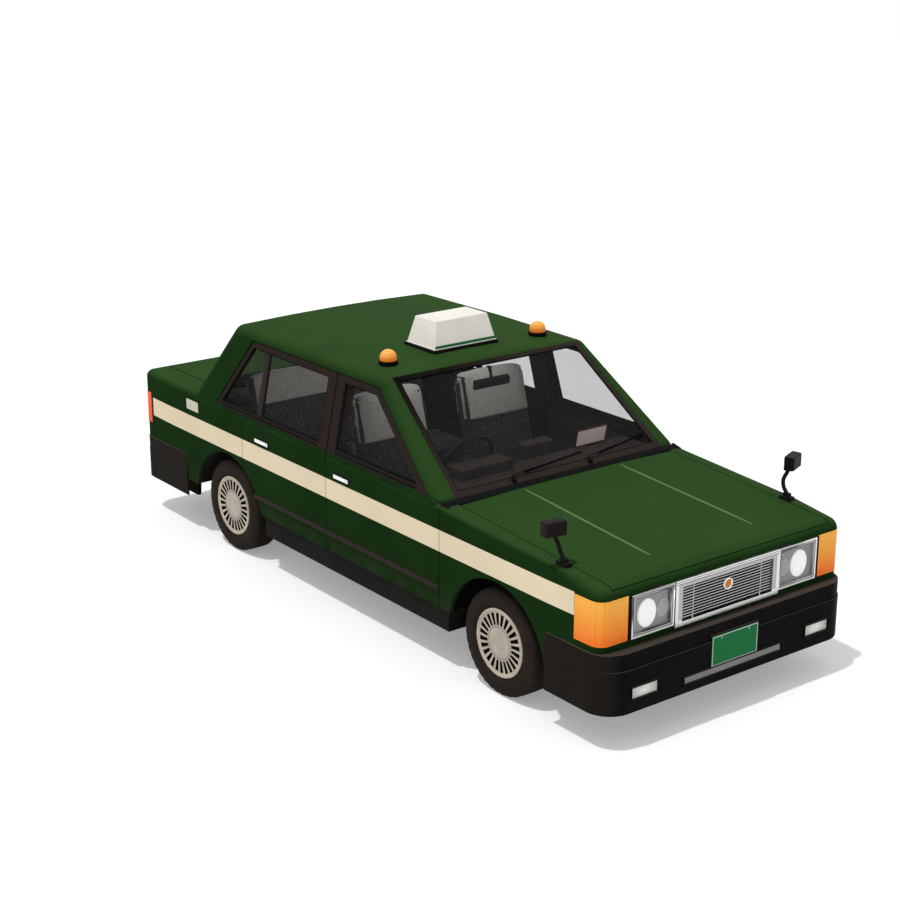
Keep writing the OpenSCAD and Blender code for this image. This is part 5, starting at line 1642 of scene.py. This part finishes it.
def steering_detail():
    """The steering wheel's boss, spokes and ribbed grips, and the column's stalks."""
    axis = Vector((-0.898794, 0, 0.438371))
    hub = Vector((0.5645, -0.370, 0.967))
    kit = Kit()
    kit.disc(hub + axis * 0.010, axis, [(0.001, 0), (0.062, 0), (0.066, 0.004), (0.064, 0.012),
                                        (0.050, 0.018), (0.020, 0.021), (0.001, 0.0215)], CABIN_BLACK, 48)
    kit.disc(hub + axis * 0.0308, axis, [(0.001, 0), (0.018, 0), (0.018, 0.0016), (0.001, 0.0022)], SATIN,
             40)
    across, up = Y, Vector((0.438371, 0, 0.898794))
    for degrees in (180, 0, 270):
        angle = math.radians(degrees)
        way = across * math.cos(angle) + up * math.sin(angle)
        side = axis.cross(way)
        rings = []
        for r, w, d in ((0.052, 0.030, 0.010), (0.10, 0.021, 0.0065), (0.168, 0.017, 0.0045)):
            rings.append([hub + way * r + side * a * w + axis * b for a, b in
                          ((-1, -0.0075), (1, -0.0075), (1, d * 0.6), (0.6, d), (-0.6, d),
                           (-1, d * 0.6))])
        kit.loft(rings, CABIN_BLACK)
    grips = 26
    for k in range(grips):
        angle = math.radians(20 + 140 * k / (grips - 1))
        for flip in (1, -1):
            way = across * math.cos(angle) + up * math.sin(angle) * flip
            kit.lathe(hub + way * 0.180, axis.cross(way),
                      [(0.0132, -0.0040), (0.0142, -0.0020), (0.0142, 0.0020),
                       (0.0132, 0.0040)], CABIN_BLACK, 14)
    kit.done("wheel_trim", "steering_wheel", bevel=0.0012)
    kit = Kit()
    foot = hub - axis * 0.085
    for flip in (1, -1):
        kit.tube(arc([foot + Y * flip * 0.030, foot + Y * flip * 0.085 + up * 0.010,
                      foot + Y * flip * 0.150 + up * 0.022 + axis * 0.012], 6),
                 [0.0055] * 12 + [0.0072], CABIN_BLACK, 12)
    kit.done("column_stalks")


def floor_fittings():
    """Levers and pedals, mats, the rear shelf and the cabin mirror."""
    kit = Kit()
    kit.box((0.36, -0.062, TUNNEL_TOP), (0.66, 0.062, 0.404), CABIN_BLACK)
    kit.box((0.06, -0.055, TUNNEL_TOP), (0.34, 0.055, 0.412), CABIN_BLACK)
    boot = [(0.046, 0.0), (0.044, 0.010), (0.034, 0.016), (0.036, 0.024), (0.026, 0.032), (0.027, 0.040),
            (0.016, 0.050), (0.009, 0.062)]
    kit.disc((0.500, 0, 0.404), Z, boot + [(0.001, 0.063)], RUBBER, 36)
    kit.tube([(0.500, 0, 0.455), (0.490, -0.004, 0.56), (0.478, -0.008, 0.628)], 0.0058, SATIN, 12)
    kit.disc((0.477, -0.008, 0.620), (-0.12, -0.02, 1),
             [(0.001, 0), (0.012, 0.001), (0.019, 0.014), (0.021, 0.026),
              (0.017, 0.039), (0.008, 0.046), (0.001, 0.047)], CABIN_BLACK, 32)
    kit.tube([(0.150, 0.0, 0.405), (0.200, 0.0, 0.440), (0.330, 0.0, 0.492)], [0.013, 0.010, 0.0095],
             CHASSIS, 14)
    kit.tube([(0.240, 0.0, 0.456), (0.345, 0.0, 0.498)], [0.0145, 0.0150], CABIN_BLACK, 16)
    kit.disc((0.345, 0, 0.498), (0.105, 0, 0.042),
             [(0.001, 0), (0.005, 0), (0.005, 0.010), (0.001, 0.012)], SATIN, 16)
    kit.done("levers", bevel=0.0015)
    kit = Kit()
    for y, w, z in ((-0.290, 0.030, 0.400), (-0.385, 0.036, 0.430), (-0.475, 0.036, 0.430)):
        kit.tube(arc([(0.985, y, z + 0.175), (0.955, y, z + 0.100), (0.915, y, z + 0.012)], 5), 0.0065,
                 CHASSIS, 10)
        turn = Matrix.Rotation(math.radians(-32), 3, "Y")
        tall = 0.075 if w < 0.033 else 0.032
        centre = Vector((0.908, y, z))
        kit.box(centre - Vector((0.007, w, tall)), centre + Vector((0.005, w, tall)), RUBBER, turn,
                centre)
        for k in range(5):
            dz = tall * (-0.8 + 0.4 * k)
            kit.box(centre + Vector((-0.0095, -w * 0.85, dz - 0.002)),
                    centre + Vector((-0.006, w * 0.85, dz + 0.002)), RUBBER, turn, centre)
    kit.done("pedals", bevel=0.0012)
    kit = Kit()
    for sign in (1, -1):
        for x0, x1 in ((0.535, 0.930), (-0.640, -0.130)):
            y0, y1 = sorted((sign * 0.165, sign * 0.640))
            kit.box((x0, y0, CABIN_FLOOR), (x1, y1, 0.2925), MAT)
            ribs = int((x1 - x0) / 0.016)
            for k in range(ribs):
                x = x0 + 0.010 + 0.016 * k
                kit.box((x, y0 + 0.014, 0.2925), (x + 0.006, y1 - 0.014, 0.2948), MAT)
    kit.done("floor_mats", bevel=0.0012)
    kit = Kit()
    kit.box((-1.600, -0.660, 0.9372), (-1.400, 0.660, 0.9450), TRIM_VINYL)
    for sign in (-1, 1):
        for k in range(9):
            kit.box((-1.56, sign * 0.42 - 0.075 + 0.017 * k, 0.9450),
                    (-1.45, sign * 0.42 - 0.069 + 0.017 * k, 0.9470), CABIN_BLACK)
    kit.done("parcel_shelf", bevel=0.002)
    kit = Kit()
    kit.box((0.300, -0.012, 1.405), (0.330, 0.012, 1.413), CABIN_BLACK)
    kit.tube([(0.316, 0, 1.408), (0.330, 0, 1.372), (0.336, 0, 1.330)], [0.010, 0.0085, 0.010],
             CABIN_BLACK, 14)
    section = [(0.326, 1.292), (0.322, 1.300), (0.322, 1.342), (0.326, 1.350), (0.346, 1.346),
               (0.352, 1.340), (0.352, 1.302), (0.346, 1.296)]
    kit.prism([(x, -0.125, z) for x, z in section], Y * 0.250, CABIN_BLACK)
    kit.box((0.3200, -0.118, 1.299), (0.3225, 0.118, 1.343), MIRROR)
    kit.done("cabin_mirror", bevel=0.003)


def door_trims():
    """Each door's inner panel, with an armrest, a winder and a pull."""
    for hand, sign in SIDES:
        for end, x0, x1, foot, line, pull in (("front", -0.045, 0.925, 0.420, 0.560, 0.615),
                                              ("rear", -0.860, -0.190, 0.640, 0.660, -0.320)):
            kit = Kit()
            outline = [(x0 + 0.01, foot), (x1, 0.420), (x1, 0.925), (x0, 0.925)]
            kit.prism([(x, sign * 0.7715, z) for x, z in outline], Y * sign * -0.0060, TRIM_VINYL)
            kit.box((x0 + 0.04, sign * 0.7655, 0.848), (x1 - 0.04, sign * 0.7625, 0.856), SATIN)
            kit.box((x0 + 0.04, sign * 0.7655, line), (x1 - 0.04, sign * 0.7630, line + 0.006), SATIN)
            arm0, arm1 = x0 + 0.12, x0 + 0.42
            kit.box((arm0, sign * 0.7655, 0.700), (arm1, sign * 0.7200, 0.742), SEAT_SIDE)
            kit.box((arm1 - 0.04, sign * 0.7655, 0.742), (arm1 + 0.06, sign * 0.7350, 0.762), SEAT_SIDE)
            crank = Vector((x0 + 0.56, sign * 0.7655, 0.700))
            kit.disc(crank, Y * -sign, [(0.001, 0), (0.018, 0), (0.016, 0.010), (0.008, 0.016),
                                        (0.001, 0.016)], SATIN, 28)
            kit.tube([crank - Y * sign * 0.014, crank - Y * sign * 0.020 + X * 0.050 - Z * 0.030],
                     0.0062, SATIN, 12)
            kit.disc(crank - Y * sign * 0.018 + X * 0.052 - Z * 0.031, Y * -sign,
                     [(0.001, 0), (0.010, 0.001), (0.012, 0.012), (0.009, 0.022), (0.001, 0.023)],
                     CABIN_BLACK, 24)
            kit.box((pull, sign * 0.7655, 0.792), (pull + 0.095, sign * 0.7600, 0.828), CABIN_BLACK)
            kit.box((pull + 0.014, sign * 0.7600, 0.802), (pull + 0.082, sign * 0.7520, 0.818), SATIN)
            kit.done(f"{end}_trim_{hand}", f"{end}_door_{hand}", bevel=0.0025)


dash_detail()
steering_detail()
floor_fittings()
door_trims()
dress(CABIN_BLACK, "steering_wheel", bevel=0.0)


# ---- Stage ----

def make_floor():
    """A pale floor that shows white to the camera and keeps the car's shadow."""
    s = Shade("floor_pale", Roughness=0.9, Specular_IOR_Level=0.1)
    s.color(s.blend(s.cloud(0.8, 3.0, 0.3), (0.80, 0.80, 0.80), (0.82, 0.82, 0.82)))
    s.bump(s.noise(60.0, 2.0), 0.0005)
    rays = s.new("LightPath")
    seen = s.either(rays.outputs["Is Camera Ray"],
                    s.either(rays.outputs["Is Glossy Ray"], rays.outputs["Is Transmission Ray"]))
    lift = s.new("Emission", {"Color": (1, 1, 1), "Strength": s.math("MULTIPLY", seen, FLOOR_LIFT)})
    both = s.new("AddShader", {0: s.surface.outputs[0], 1: lift.outputs[0]})
    s.tree.links.new(both.outputs[0], s.output.inputs["Surface"])
    kit = Kit()
    steps = 96
    turns = [2 * math.pi * i / steps for i in range(steps)]
    kit.loft([[(r * math.cos(t), r * math.sin(t), 0) for t in turns] for r in (0.5, 4, 12, 40)],
             s.material, caps=False)
    kit.mesh.verts.ensure_lookup_table()
    kit.mesh.faces.new(kit.mesh.verts[:steps])
    bmesh.ops.recalc_face_normals(kit.mesh, faces=kit.mesh.faces)
    kit.as_object("floor")


def make_light():
    """A high sun and an even sky that looks white to the camera but lights the car less."""
    sun = bpy.data.lights.new("key", "SUN")
    sun.energy, sun.angle = SUN_POWER, math.radians(2)
    add("key", sun).rotation_euler = Vector((0.05, 0.30, -1)).to_track_quat("-Z", "Y").to_euler()
    world = bpy.data.worlds.new("studio")
    bpy.context.scene.world = world
    world.use_nodes = True
    nodes, link = world.node_tree.nodes, world.node_tree.links.new
    rays, level = nodes.new("ShaderNodeLightPath"), nodes.new("ShaderNodeMapRange")
    seen = rays.outputs["Is Camera Ray"]
    for kind in ("Is Transmission Ray", "Is Glossy Ray"):
        either = nodes.new("ShaderNodeMath")
        either.operation = "MAXIMUM"
        link(seen, either.inputs[0])
        link(rays.outputs[kind], either.inputs[1])
        seen = either.outputs[0]
    level.inputs["To Min"].default_value, level.inputs["To Max"].default_value = SKY_POWER, 1.0
    link(seen, level.inputs[0])
    link(level.outputs[0], nodes["Background"].inputs["Strength"])
    nodes["Background"].inputs["Color"].default_value = (1, 1, 1, 1)


def make_cabin_light():
    """A soft light under the roof lining that brings the cabin near the level outside."""
    lamp = bpy.data.lights.new("cabin", "AREA")
    lamp.energy, lamp.shape, lamp.size, lamp.size_y = CABIN_POWER, "RECTANGLE", 1.3, 1.0
    holder = add("cabin", lamp)
    holder.location = (-0.35, 0, 1.405)
    holder.visible_camera = holder.visible_glossy = holder.visible_transmission = False


make_floor()
make_light()
make_cabin_light()
